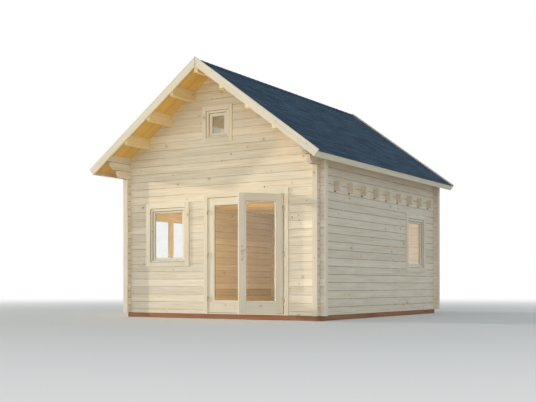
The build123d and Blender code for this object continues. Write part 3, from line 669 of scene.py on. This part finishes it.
def floor_deck():
    """Planed floor boards on the bearers."""
    low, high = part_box("floor_boards")
    bm = bmesh.new()
    count = round((high.x - low.x) / FLOOR_BOARD)
    wide = (high.x - low.x) / count
    for i in range(count):
        x = low.x + i * wide
        start = (x + FLOOR_JOINT, low.y, low.z)
        end = (x + wide - FLOOR_JOINT, high.y, high.z)
        box(bm, start, end, bevel=FLOOR_EDGE)
    mark_grain(bm)
    finish_piece("floor_planks", bm, floor_wood, "cabin", "floor", ("floor_boards",))


floor_deck()

# Roof boards on each side: how many, their thickness, half the joint between two,
# the depth of the V joint, and the stretch of the slope that the eave board takes
ROOF_BOARDS, BOARD_THICK, BOARD_JOINT, V_JOINT = 65, 0.019, 0.0002, 0.005
EAVE_BOARD = 0.02


def roof_deck(side, name, node):
    """Roof boards from ridge to eave with a V joint on the underside."""
    bm = bmesh.new()
    grain, seed, width = layers(bm)
    wide = 2 * ROOF_Y / ROOF_BOARDS
    end = SLOPE - EAVE_BOARD
    shape = (
        (BOARD_JOINT, V_JOINT), (V_JOINT, 0.0), (wide - V_JOINT, 0.0),
        (wide - BOARD_JOINT, V_JOINT), (wide - BOARD_JOINT, BOARD_THICK), (BOARD_JOINT, BOARD_THICK),
    )
    for i in range(ROOF_BOARDS):
        y = -ROOF_Y + i * wide
        number = chance.uniform(0, SEEDS)
        top, foot = [], []
        for dy, out in shape:
            for ring, (x, z), along in ((top, ridge(out), 0.0), (foot, slope(end, out, side), end)):
                v = bm.verts.new((x, y + dy, z))
                v[grain] = (along, dy - wide / 2, out)
                v[seed] = number
                v[width] = wide
                ring.append(v)
        bm.faces.new(top)
        bm.faces.new(foot[::-1])
        n = len(shape)
        for k in range(n):
            bm.faces.new((top[(k + 1) % n], top[k], foot[k], foot[(k + 1) % n]))
    turn_outward(bm)
    finish_piece(name, bm, soffit_wood, "cabin", "roof_timber", (node,))


roof_deck(-1, "roof_planks_left", "roof_boards_left")
roof_deck(1, "roof_planks_right", "roof_boards_right")

# Bitumen shingles in overlapping courses: what shows of each, and the width of a tab
EXPOSURE, TAB = 0.145, 0.3333
# How far a course reaches under the next one, half the slit between tabs, the least tab
OVERLAP, SLIT, LEAST_TAB = 0.03, 0.003, 0.01
# Heights over the boards' underside: the base sheet's two faces,
# a tab's face at its upper line and at its lower one, and how much the last varies
BASE_LOW, BASE_TOP, TAB_HIGH, TAB_FOOT, TAB_SPREAD = 0.0191, 0.0206, 0.0212, 0.0236, 0.0010
# The covering ends this far inside the roof boards' ends, and past the eave boards
COVER_INSET, EAVE_LIP = 0.0005, 0.010


def cover_layers(bm):
    """Layers for the tone of a tab and for its lower edge."""
    return bm.verts.layers.float.new("seed"), bm.verts.layers.float.new("edge")


def shingles(side, name, node):
    bm = bmesh.new()
    seed, edge = cover_layers(bm)
    y0, y1 = -ROOF_Y + COVER_INSET, ROOF_Y - COVER_INSET
    end = SLOPE + EAVE_LIP

    def sheet(lower, upper, a, b, tone):
        """A thin slab from y a to b; its lines give the place on the slope, underside and face."""
        (s_low, n_low, n_high), (s_top, m_low, m_high) = lower, upper
        verts = []
        for s, n, dark in (
            (s_low, n_low, 1.0), (s_low, n_high, 0.0), (s_top, m_high, 0.0), (s_top, m_low, 0.0),
        ):
            for y in (a, b):
                x, z = slope(s, n, side)
                v = bm.verts.new((x, y, z))
                v[seed] = tone
                v[edge] = dark
                verts.append(v)
        for f in (
            (0, 1, 3, 2), (2, 3, 5, 4), (0, 2, 4, 6), (1, 7, 5, 3), (6, 4, 5, 7), (0, 6, 7, 1),
        ):
            bm.faces.new([verts[i] for i in f])

    sheet((end, BASE_LOW, BASE_TOP), (0.0, BASE_LOW, BASE_TOP), y0, y1, 0.2)
    for i in range(math.ceil(end / EXPOSURE)):
        s_low = end - i * EXPOSURE
        s_top = max(s_low - EXPOSURE - OVERLAP, 0.002)
        y = y0 - chance.choice((0.25, 0.5, 0.75)) * TAB * (1 if i % 2 else 0.5)
        while y < y1:
            a, b = max(y + SLIT, y0), min(y + TAB - SLIT, y1)
            if b - a > LEAST_TAB:
                tone = chance.random()
                foot = TAB_FOOT + chance.uniform(0, TAB_SPREAD)
                sheet((s_low, BASE_TOP, foot), (s_top, BASE_TOP, TAB_HIGH), a, b, tone)
            y += TAB
    turn_outward(bm)
    finish_piece(name, bm, shingle, "cabin", "roof_covering", (node,))


shingles(-1, "roof_shingles_left", "roof_covering_left")
shingles(1, "roof_shingles_right", "roof_covering_right")

# Ridge caps: reach down each slope, place of the bend, length, and the least last piece
CAP_REACH, CAP_BEND, CAP_LENGTH, CAP_LEAST = 0.130, 0.02, 0.165, 0.02
# Underside and face of a cap at its back and at its front end
CAP_BACK, CAP_FRONT = (0.0242, 0.0250), (0.0254, 0.0290)


def ridge_shingles():
    """Folded caps along the ridge, from the back; the front end of each lies on the next."""
    bm = bmesh.new()
    seed, edge = cover_layers(bm)
    y = ROOF_Y - COVER_INSET
    while y > -ROOF_Y + CAP_LEAST:
        tone = chance.random()
        ends = []
        for end, heights in ((y, CAP_BACK), (max(y - CAP_LENGTH, -ROOF_Y + COVER_INSET), CAP_FRONT)):
            lines = []
            for out in heights:
                line = [
                    slope(CAP_REACH, out, -1), slope(CAP_BEND, out, -1), ridge(out),
                    slope(CAP_BEND, out, 1), slope(CAP_REACH, out, 1),
                ]
                lines.append([bm.verts.new((x, end, z)) for x, z in line])
            ends.append(lines)
        (al, ah), (bl, bh) = ends
        for v in al + ah + bl + bh:
            v[seed] = tone
        for v in bl:
            v[edge] = 1.0
        for k in range(4):
            for one, two in ((ah, bh), (bl, al), (bh, bl), (al, ah)):
                bm.faces.new((one[k], one[k + 1], two[k + 1], two[k]))
        bm.faces.new((al[0], ah[0], bh[0], bl[0]))
        bm.faces.new((bl[4], bh[4], ah[4], al[4]))
        y -= EXPOSURE
    turn_outward(bm)
    finish_piece("ridge_shingles", bm, shingle, "cabin", "roof_covering", ("ridge_cap",))


ridge_shingles()


# Glazing beads and seals
def corners(x0, x1, z0, z1, inward=0.0):
    """Corners of an upright rectangle, moved inward."""
    x0, x1, z0, z1 = x0 + inward, x1 - inward, z0 + inward, z1 - inward
    return (x0, z0), (x1, z0), (x1, z1), (x0, z1)


# Share of a bead's width that is flat, and of its height that is left at its inner edge
BEAD_SHARE = 0.35


def bead_ring(bm, turn, x0, x1, z0, z1, y_face, y_glass, wide):
    """Sloped beads round a pane: they fall from the frame's face line to the glass."""
    outer, inner = corners(x0, x1, z0, z1), corners(x0, x1, z0, z1, wide)
    flat = corners(x0, x1, z0, z1, wide * BEAD_SHARE)
    low = y_glass + (y_face - y_glass) * BEAD_SHARE
    rings = []
    for points, y in ((outer, y_glass), (outer, y_face), (flat, y_face), (inner, low), (inner, y_glass)):
        rings.append([bm.verts.new(turn @ Vector((x, y, z))) for x, z in points])
    bridge(bm, rings + rings[:1])


# A bead stands back from the frame's face and clear of the glass; its seal lies under its
# inner edge and has this share of its height
BEAD_BACK, BEAD_CLEAR, SEAL_LAP, SEAL_SHARE = 0.0015, 0.0001, 0.0005, 0.2


def glazing(bm, rubber, turn, pane, front, back, wide, seal_wide):
    """Beads and dark seals on both sides of a pane, between the frame's two faces."""
    x0, x1, y0, y1, z0, z1 = pane
    lap = wide - SEAL_LAP
    for y_face, y_glass in (
        (front + BEAD_BACK, y0 - BEAD_CLEAR), (back - BEAD_BACK, y1 + BEAD_CLEAR),
    ):
        bead_ring(bm, turn, x0, x1, z0, z1, y_face, y_glass, wide)
        y_seal = y_glass + (y_face - y_glass) * SEAL_SHARE
        bead_ring(
            rubber, turn, x0 + lap, x1 - lap, z0 + lap, z1 - lap, y_seal, y_glass, seal_wide
        )


def finish_glazing(bm, rubber, name, body):
    turn_outward(bm)
    turn_outward(rubber)
    mark_grain(bm)
    finish_piece(name + "_beads", bm, joinery_wood, body, "joinery")
    finish_piece(name + "_glass_seal", rubber, seal_and_shade, body)


def plane(origin, x_dir):
    """Local x along the wall or leaf, local y into the cabin."""
    x = Vector(x_dir).normalized()
    up = Vector((0, 0, 1))
    turn = Matrix((x, up.cross(x), up)).transposed()
    return Matrix.Translation(origin) @ turn.to_4x4()


# Leaves: the plane from the hinge line, and the way the leaf runs in it
OPEN_WAY = (math.cos(LEAF_ANGLE), math.sin(LEAF_ANGLE), 0)
LEAVES = {
    "right_leaf": (plane((RIGHT_HINGE_X, HINGE_Y, 0), OPEN_WAY), -1),
    "left_leaf": (plane((LEFT_HINGE_X, HINGE_Y, 0), (1, 0, 0)), 1),
}
# In a leaf's plane: its two faces, and its pane across, through and up
LEAF_FRONT, LEAF_BACK = 0.020, 0.060
PANE_X, PANE_Y, PANE_Z = (0.1315, 0.6405), (0.037, 0.043), (0.3085, 1.9595)
for body, (turn, way) in LEAVES.items():
    bm, rubber = bmesh.new(), bmesh.new()
    pane = (*sorted(way * x for x in PANE_X), *PANE_Y, *PANE_Z)
    glazing(bm, rubber, turn, pane, LEAF_FRONT, LEAF_BACK, 0.012, 0.002)
    finish_glazing(bm, rubber, body, body)

# Planes of the windows: under the middle of each window, on the wall's outer face
WINDOWS = {
    "front": plane((-1.079, FRONT_Y, 0), (1, 0, 0)),
    "right": plane((SIDE_X, 1.685, 0), (0, 1, 0)),
    "left": plane((-SIDE_X, -1.06, 0), (0, -1, 0)),
    "loft": plane((0, FRONT_Y, 0), (1, 0, 0)),
}
# A window's own points lie no further than this from its middle and the wall's face,
# and those of the loft window are over this height
WINDOW_REACH, WINDOW_NEAR, WINDOW_DEEP, LOFT_Z = 0.75, -0.05, 0.09, 2.6


def window_points(node, name):
    """The points of a CAD node that belong to one window, in the window's own plane."""
    back = WINDOWS[name].inverted()
    local = [back @ v.co for v in cad[node].data.vertices]
    return [
        p for p in local
        if abs(p.x) < WINDOW_REACH and WINDOW_NEAR < p.y < WINDOW_DEEP
        and (p.z > LOFT_Z) == (name == "loft")
    ]


def panes(node):
    """Plane and box of every pane or sash; the left window has two."""
    for name, turn in WINDOWS.items():
        near = window_points(node, name)
        halves = [near]
        if name == "left":
            halves = [[p for p in near if p.x < 0], [p for p in near if p.x > 0]]
        for part in halves:
            yield turn, [f(p[i] for p in part) for i in (0, 1, 2) for f in (min, max)]


SASH_FRONT, SASH_BACK = 0.022, 0.062
bm, rubber = bmesh.new(), bmesh.new()
for turn, pane in panes("window_glass"):
    glazing(bm, rubber, turn, pane, SASH_FRONT, SASH_BACK, 0.008, 0.0015)
finish_glazing(bm, rubber, "window", "cabin")


def flat_ring(bm, turn, x0, x1, z0, z1, y0, y1, wide):
    """Four thin strips along the inside of a rectangle."""
    for a, b, low, high in (
        (x0, x1, z0, z0 + wide), (x0, x1, z1 - wide, z1),
        (x0, x0 + wide, z0 + wide, z1 - wide), (x1 - wide, x1, z0 + wide, z1 - wide),
    ):
        box(bm, (a, y0, low), (b, y1, high), turn)


def sill_seal_and_shade():
    """Dark seal along the front of the door's sill, which is also painted shade of the gap under the
    leaves.
    """
    low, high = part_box("door_threshold")
    end, front, back, sunk, tall = 0.002, 0.008, 0.014, 0.0003, 0.0042
    bm = bmesh.new()
    box(
        bm, (low.x + end, low.y + front, high.z - sunk), (high.x - end, low.y + back, high.z + tall),
        bevel=0.001,
    )
    finish_piece("sill_seal_and_shade", bm, seal_and_shade, "cabin")


def joist_notch_shadows():
    """Painted shadow under the joists' ends: dark patches on the side walls where the notches under them
    lie in shade.
    """
    points = [v.co for v in cad["loft_joists"].data.vertices]
    sides = sorted({round(p.y, 4) for p in points})
    low = min(p.z for p in points)
    past, deep, clear, sunk, rise = 0.004, 0.016, 0.0005, 0.0005, 0.0008
    bm = bmesh.new()
    for y0, y1 in zip(sides[::2], sides[1::2]):
        for side in (-1, 1):
            xs = sorted((side * (SIDE_X - sunk), side * (SIDE_X + rise)))
            box(bm, (xs[0], y0 - past, low - deep), (xs[1], y1 + past, low - clear))
    finish_piece("joist_notch_shadows", bm, seal_and_shade, "cabin")


def sash_gap_shade():
    """A dark strip round the face of each sash: painted shade of the gap between sash and frame."""
    rise, sunk, wide = 0.0016, 0.0004, 0.0055
    bm = bmesh.new()
    for turn, (x0, x1, face, _, z0, z1) in panes("window_sashes"):
        flat_ring(bm, turn, x0, x1, z0, z1, face - rise, face + sunk, wide)
    finish_piece("sash_gap_shade", bm, seal_and_shade, "cabin")


def casing_step_shade():
    """Painted shade on each window frame along the inner edge of its casing, at the foot of the casing's
    step.
    """
    rise, sunk, wide = 0.0008, 0.0003, 0.005
    bm = bmesh.new()
    for name, turn in WINDOWS.items():
        near = window_points("window_casings", name)
        inner = min(abs(p.x) for p in near)
        levels = sorted({round(p.z, 3) for p in near})
        flat_ring(bm, turn, -inner, inner, levels[1], levels[2], -rise, sunk, wide)
    finish_piece("casing_step_shade", bm, seal_and_shade, "cabin")


sill_seal_and_shade()
joist_notch_shadows()
sash_gap_shade()
casing_step_shade()

# Knots and marks that stand out in the photo: place along the wall, height, radius
FRONT_KNOTS = (
    (0.281, 2.815, 0.012), (0.095, 2.709, 0.009), (0.485, 2.715, 0.008), (1.615, 1.639, 0.010),
    (1.610, 1.715, 0.007), (1.484, 1.693, 0.010), (1.490, 1.676, 0.008), (1.615, 0.597, 0.009),
    (-1.623, 0.963, 0.009), (0.301, 3.665, 0.007), (0.646, 3.528, 0.008), (-0.392, 3.529, 0.008),
    (-0.242, 3.584, 0.007), (1.197, 3.142, 0.007), (-0.115, 3.795, 0.007),
)
SIDE_KNOTS = (
    (0.970, 1.518, 0.011), (-1.686, 1.993, 0.008), (-1.429, 2.031, 0.007), (0.368, 1.972, 0.007),
    (1.066, 1.426, 0.007),
)
CASING_KNOT = (0.964, 2.213, 0.011)
# Single dark marks on the front: x, y, z, radius
FRONT_MARKS = (
    (-1.429, FRONT_Y, 1.550, 0.006), (-1.477, CASING_Y, 1.873, 0.006), (0.341, -BARGE_Y, 4.084, 0.007),
)
# How far knots and marks stand out, and how round they are
KNOT_RISE, KNOT_SIDES, MARK_RISE, MARK_SIDES = 0.0006, 12, 0.0015, 10


def wall_knots():
    bm = bmesh.new()
    for x, z, radius in FRONT_KNOTS:
        screw_head(bm, (x, FRONT_Y, z), FORWARD, radius, KNOT_RISE, KNOT_SIDES)
    for y, z, radius in SIDE_KNOTS:
        screw_head(bm, (SIDE_X, y, z), (1, 0, 0), radius, KNOT_RISE, KNOT_SIDES)
    x, z, radius = CASING_KNOT
    screw_head(bm, (x, CASING_Y, z), FORWARD, radius, KNOT_RISE, KNOT_SIDES)
    finish_piece("wall_knots", bm, knot, "cabin")


def dark_marks():
    """Marks on the front, and the joint of the two barge boards at the peak of each gable."""
    bm = bmesh.new()
    for x, y, z, radius in FRONT_MARKS:
        screw_head(bm, (x, y, z), FORWARD, radius, MARK_RISE, MARK_SIDES)
    half, near, sunk, rise, end = 0.0032, 0.0015, 0.0004, 0.0007, 0.001
    for node, way in (("front_barge_boards", -1), ("back_barge_boards", 1)):
        joint = [v.co for v in cad[node].data.vertices if abs(v.co.x) < near]
        face = way * max(way * p.y for p in joint)
        heights = [p.z for p in joint]
        ys = sorted((face - way * sunk, face + way * rise))
        box(bm, (-half, ys[0], min(heights) + end), (half, ys[1], max(heights) - end))
    finish_piece("dark_marks", bm, seal_and_shade, "cabin")


wall_knots()
dark_marks()

# In the leaf's plane: the handle's place, the plate's ends, half width and thickness
HANDLE_X, LEVER_Z = -0.706, 1.150
PLATE_LOW, PLATE_HIGH, PLATE_HALF, PLATE_THICK = 0.975, 1.225, 0.018, 0.004
LOCK_Z, LOCK_FOOT_Z, PLATE_SCREWS = 1.030, 1.010, (0.993, 1.208)
# Lever: out from the leaf, round the bend, and along to the tip, as (along, out)
BEND_RADIUS, BEND_OUT = 0.012, 0.028
LEVER_START = [(0, 0.006), (0, 0.020), (0, BEND_OUT)]
LEVER_BEND = [
    (BEND_RADIUS - BEND_RADIUS * math.cos(a), BEND_OUT + BEND_RADIUS * math.sin(a))
    for a in (math.radians(15 * k) for k in range(7))
]
LEVER_END = [(0.035, 0.0402), (0.065, 0.0402), (0.095, 0.0398), (0.108, 0.0390), (0.114, 0.0380)]
LEVER_RADII = [0.0092] * 3 + [0.009] * 7 + [0.0088, 0.0086, 0.0082, 0.0076, 0.0050]


# Lever handles with long plates on both faces of the right leaf
def rounded_plate(bm, turn, face, way):
    """A plate with round ends, domed at its rim."""
    outline = []
    for centre, start in ((PLATE_HIGH - PLATE_HALF, 0), (PLATE_LOW + PLATE_HALF, 180)):
        for k in range(9):
            a = math.radians(start + k * 22.5)
            outline.append((PLATE_HALF * math.cos(a), centre + PLATE_HALF * math.sin(a)))
    middle = (PLATE_LOW + PLATE_HIGH) / 2
    rings = []
    for share, depth in ((1.0, 0.0), (1.0, 0.6), (0.9, 1.0)):
        tall = 1 - (1 - share) * 0.15
        y = face + way * PLATE_THICK * depth
        rings.append([
            bm.verts.new(turn @ Vector((HANDLE_X + dx * share, y, middle + (z - middle) * tall)))
            for dx, z in outline
        ])
    bridge(bm, rings)
    close_ends(bm, rings)


def handle_side(bm, dark, turn, face, way):
    """Plate, lever, lock and screws on one face of the leaf; way points out of that face."""
    def stud(z, depths, radii, sides):
        """A short round part that stands out of the leaf."""
        tube(bm, [turn @ Vector((HANDLE_X, face + way * d, z)) for d in depths], radii, sides)

    def slot_shade(z, half_x, half_z, low, high):
        """A thin dark strip from low to high over the face, as painted shade in the keyhole and in the
        screws' slots.
        """
        ys = sorted((face + way * low, face + way * high))
        start = (HANDLE_X - half_x, ys[0], z - half_z)
        box(dark, start, (HANDLE_X + half_x, ys[1], z + half_z), turn)

    rounded_plate(bm, turn, face, way)
    stud(LEVER_Z, (0.003, 0.006, 0.007), (0.013, 0.013, 0.0115), 20)
    path = [
        turn @ Vector((HANDLE_X + along, face + way * out, LEVER_Z))
        for along, out in LEVER_START + LEVER_BEND + LEVER_END
    ]
    tube(bm, path, LEVER_RADII, 16)
    stud(LOCK_Z, (0.003, 0.0075, 0.0085), (0.0088, 0.0088, 0.0075), 18)
    stud(LOCK_FOOT_Z, (0.003, 0.0075, 0.0085), (0.0052, 0.0052, 0.0042), 14)
    slot_shade(LOCK_Z, 0.0011, 0.0065, 0.008, 0.0089)
    for z in PLATE_SCREWS:
        stud(z, (0.0035, 0.0050, 0.0055), (0.0042, 0.0042, 0.0030), 12)
        slot_shade(z, 0.0027, 0.0004, 0.005, 0.0057)


def handle():
    turn, _ = LEAVES["right_leaf"]
    bm, dark = bmesh.new(), bmesh.new()
    handle_side(bm, dark, turn, LEAF_FRONT, -1)
    handle_side(bm, dark, turn, LEAF_BACK, 1)
    turn_outward(bm)
    obj = finish_piece("lever_handles", bm, steel, "right_leaf", "door_metal", ("right_door_handle",))
    for face in obj.data.polygons:
        face.use_smooth = len(face.vertices) == 4
    # Painted shade of the keyhole and the screws' slots.
    finish_piece("handle_slot_shade", dark, seal_and_shade, "right_leaf")


handle()

# Nails: half their distance on a log's end, and their radius on the casings
NAIL_HALF, CASING_NAIL = 0.026, 0.0035
# Nails of the barge boards: places along the slope, and out from the boards' underside
BARGE_NAILS, BARGE_NAIL_ROWS = (0.19, 0.62, 1.24, 1.87, 2.50, 2.79), (-0.045, 0.012)
# Nails of the door casing: x of its uprights, lowest nail, step, number; x and z on its head
DOOR_UPRIGHTS, DOOR_NAIL_Z, DOOR_NAIL_STEP, DOOR_NAILS = (-0.2375, 1.3805), 0.16, 0.31, 7
DOOR_HEAD, DOOR_HEAD_Z = (0.05, 0.5715, 1.09), 2.132
# Nails of the window casings: half distance of the uprights, their foot and their top
CASING_NAILS = {
    "front": (0.434, 0.955, 2.02),
    "right": (0.434, 0.888, 1.953),
    "left": (0.607, 0.888, 1.953),
    "loft": (0.275, 3.09, 3.61),
}


def corner_nails(bm):
    """Two nails in the end of every third log, through the corner boards."""
    low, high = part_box("corner_boards")
    for side in (-1, 1):
        for dx in (-NAIL_HALF, NAIL_HALF):
            for k in range(3, 19, 3):
                z = WALL_FOOT + LOG * (k + 0.5)
                screw_head(bm, (side * SIDE_MIDDLE + dx, low.y, z), FORWARD)
                screw_head(bm, (side * SIDE_MIDDLE + dx, high.y, z), (0, 1, 0))
                for y in END_MIDDLES:
                    screw_head(bm, (side * high.x, y + dx, z + LOG / 2), (side, 0, 0))


def barge_nails(bm):
    for way in (-1, 1):
        for side in (-1, 1):
            for along in BARGE_NAILS:
                for out in BARGE_NAIL_ROWS:
                    x, z = slope(along, out, side)
                    screw_head(bm, (x, way * BARGE_Y, z), (0, way, 0))


def casing_nails(bm):
    for x in DOOR_UPRIGHTS:
        for k in range(DOOR_NAILS):
            z = DOOR_NAIL_Z + k * DOOR_NAIL_STEP
            screw_head(bm, (x, CASING_Y, z), FORWARD, CASING_NAIL)
    for x in DOOR_HEAD:
        screw_head(bm, (x, CASING_Y, DOOR_HEAD_Z), FORWARD, CASING_NAIL)
    face, inset, count = CASING_Y - FRONT_Y, 0.02, 4
    for name, (half, z0, z1) in CASING_NAILS.items():
        turn = WINDOWS[name]
        places = []
        for k in range(count):
            z = z0 + (z1 - z0) * (k + 0.5) / count
            places += [(-half, z), (half, z)]
        for x in (-half * 0.55, half * 0.55):
            places += [(x, z0 - inset), (x, z1 + inset)]
        for x, z in places:
            screw_head(bm, turn @ Vector((x, face, z)), turn.to_3x3() @ Vector(FORWARD), CASING_NAIL)


def nail_heads():
    bm = bmesh.new()
    corner_nails(bm)
    barge_nails(bm)
    casing_nails(bm)
    finish_piece("nail_heads", bm, zinc, "cabin")


nail_heads()

# Hinge screws: distance from the hinge line, y of the strap's face (in the leaf's plane
# for a leaf), heights from the middle of the hinge, radius
FRAME_SCREWS = (0.0095, -2.308, (-0.012, -0.034), 0.0028)
LEAF_SCREWS = (0.0145, 0.017, (0.034, 0.012), 0.0022)


def hinge_screws():
    """Screws of the hinge straps on the casings and on the leaves."""
    away, y, offsets, radius = FRAME_SCREWS
    bm = bmesh.new()
    for jamb, side in ((RIGHT_HINGE_X, 1), (LEFT_HINGE_X, -1)):
        for z in (height + dz for height in HINGE_HEIGHTS for dz in offsets):
            screw_head(bm, (jamb + side * away, y, z), FORWARD, radius)
    finish_piece("frame_hinge_screws", bm, steel, "cabin", "door_metal")
    away, y, offsets, radius = LEAF_SCREWS
    for body, (turn, way) in LEAVES.items():
        bm = bmesh.new()
        for z in (height + dz for height in HINGE_HEIGHTS for dz in offsets):
            place = turn @ Vector((way * away, y, z))
            screw_head(bm, place, turn.to_3x3() @ Vector(FORWARD), radius)
        finish_piece(body + "_hinge_screws", bm, steel, body, "door_metal")


hinge_screws()

# Floor, light, camera
# Half size of the floor, its depth under the ground line, where its fade to white is
STAGE_HALF, STAGE_DEPTH, FADE_START, FADE_END = 150, 0.001, 4.0, 26.0


def stage():
    """A pale floor that takes the cabin's shadow and fades to white in the distance."""
    made, t, shader = material(
        "studio_floor", Base_Color=(0.80, 0.80, 0.79, 1), Roughness=0.9, Specular_IOR_Level=0.1
    )
    x, y, _ = t.split(t.here())
    far = t.math("SQRT", t.add(t.mul(x, x), t.mul(y, y)))
    light = t.fill(t.node("ShaderNodeEmission"), Color=(1, 1, 1, 1))
    seen = t.node("ShaderNodeLightPath").outputs["Is Camera Ray"]
    fade = t.mul(t.step(far, FADE_START, FADE_END), seen)
    t.show(t.either(fade, shader.outputs[0], light.outputs[0]))
    bm = bmesh.new()
    bmesh.ops.create_grid(bm, x_segments=1, y_segments=1, size=STAGE_HALF)
    floor = mesh_object("studio_floor", bm, made)
    floor.location.z = -STAGE_DEPTH


def studio():
    """A soft sky for the object, and white where the camera, gloss or glass sees past it."""
    world = bpy.data.worlds.new("studio")
    scene.world = world
    world.use_nodes = True
    t = Tree(world.node_tree)
    sky = t.fill(world.node_tree.nodes["Background"], Color=(0.95, 1.05, 1.13, 1), Strength=0.41)
    white = t.fill(t.node("ShaderNodeBackground"), Color=(1, 1, 1, 1), Strength=1.0)
    path = t.node("ShaderNodeLightPath").outputs
    seen = t.math("MAXIMUM", path["Is Camera Ray"], path["Is Glossy Ray"])
    seen = t.math("MAXIMUM", seen, path["Is Transmission Ray"])
    t.show(t.either(seen, sky.outputs[0], white.outputs[0]), "World Output")


stage()
studio()


def lamp(name, kind, energy, colour):
    """A new lamp; one that stands near doesn't show in a view, a gloss or a pane."""
    made = new_object(name, bpy.data.lights.new(name, kind))
    made.data.energy = energy
    made.data.color = colour
    if kind != "SUN":
        for ray in ("visible_camera", "visible_glossy", "visible_transmission"):
            setattr(made, ray, False)
    return made


def sun(name, energy, colour, softness, left, high):
    """A soft distant lamp; left and high are degrees from straight in front of the gable."""
    made = lamp(name, "SUN", energy, colour)
    made.data.angle = math.radians(softness)
    side, up = math.radians(left), math.radians(high)
    toward = Vector((-math.sin(side) * math.cos(up), -math.cos(side) * math.cos(up), math.sin(up)))
    made.location = toward * 20
    made.rotation_euler = toward.to_track_quat("Z", "Y").to_euler()


def room_lamp(name, place, energy, radius, colour):
    """A lamp inside, whose light the panes show."""
    made = lamp(name, "POINT", energy, colour)
    made.data.shadow_soft_size = radius
    made.location = place


def bounce_lamp(name, place, toward, size, energy):
    """A weak warm glow on the front gable and up under its roof."""
    made = lamp(name, "AREA", energy, (1.0, 0.76, 0.27))
    made.data.size = size
    made.location = place
    made.rotation_euler = Vector(toward).to_track_quat("-Z", "Y").to_euler()


sun("key", energy=2.28, colour=(0.985, 0.87, 0.70), softness=2, left=75.5, high=8)
sun("fill", energy=0.5, colour=(1.0, 0.97, 0.93), softness=45, left=5, high=18)
sun("side", energy=0.27, colour=(0.95, 1.0, 1.0), softness=80, left=-80, high=22)
bounce_lamp("ground_glow", place=(0.0, -4.3, 0.25), toward=(0.0, 0.5, 1.0), size=3.0, energy=9)
bounce_lamp("gable_glow", place=(-0.2, -4.2, 2.1), toward=(0.05, 1.5, 1.9), size=1.4, energy=7)
room_lamp("room_lamp", place=(-0.5, -0.7, 1.1), energy=33, radius=0.35, colour=(1.0, 0.76, 0.36))
room_lamp("back_lamp", place=(0.95, 1.3, 1.4), energy=15, radius=0.3, colour=(0.92, 1.0, 0.88))
room_lamp("loft_lamp", place=(0.0, -0.2, 3.3), energy=38, radius=0.25, colour=(0.42, 0.60, 1.0))

# Camera, solved from the level log joints and the upright corners in the photo
CAMERA_PLACE = (8.949, -15.129, 0.574)
# From what it looks at back to the camera; level, as the uprights in the photo are upright
CAMERA_BACK = (0.5252, -0.8510, 0)
LENS, SENSOR, SHIFT_UP = 60.98, 36, 0.1574
view = bpy.data.cameras.new("camera")
view.lens = LENS
view.sensor_width = SENSOR
view.shift_y = SHIFT_UP
view.clip_end = 500
camera = new_object("camera", view)
camera.location = CAMERA_PLACE
camera.rotation_euler = Vector(CAMERA_BACK).to_track_quat("Z", "Y").to_euler()
scene.camera = camera
scene.view_settings.view_transform = "Standard"
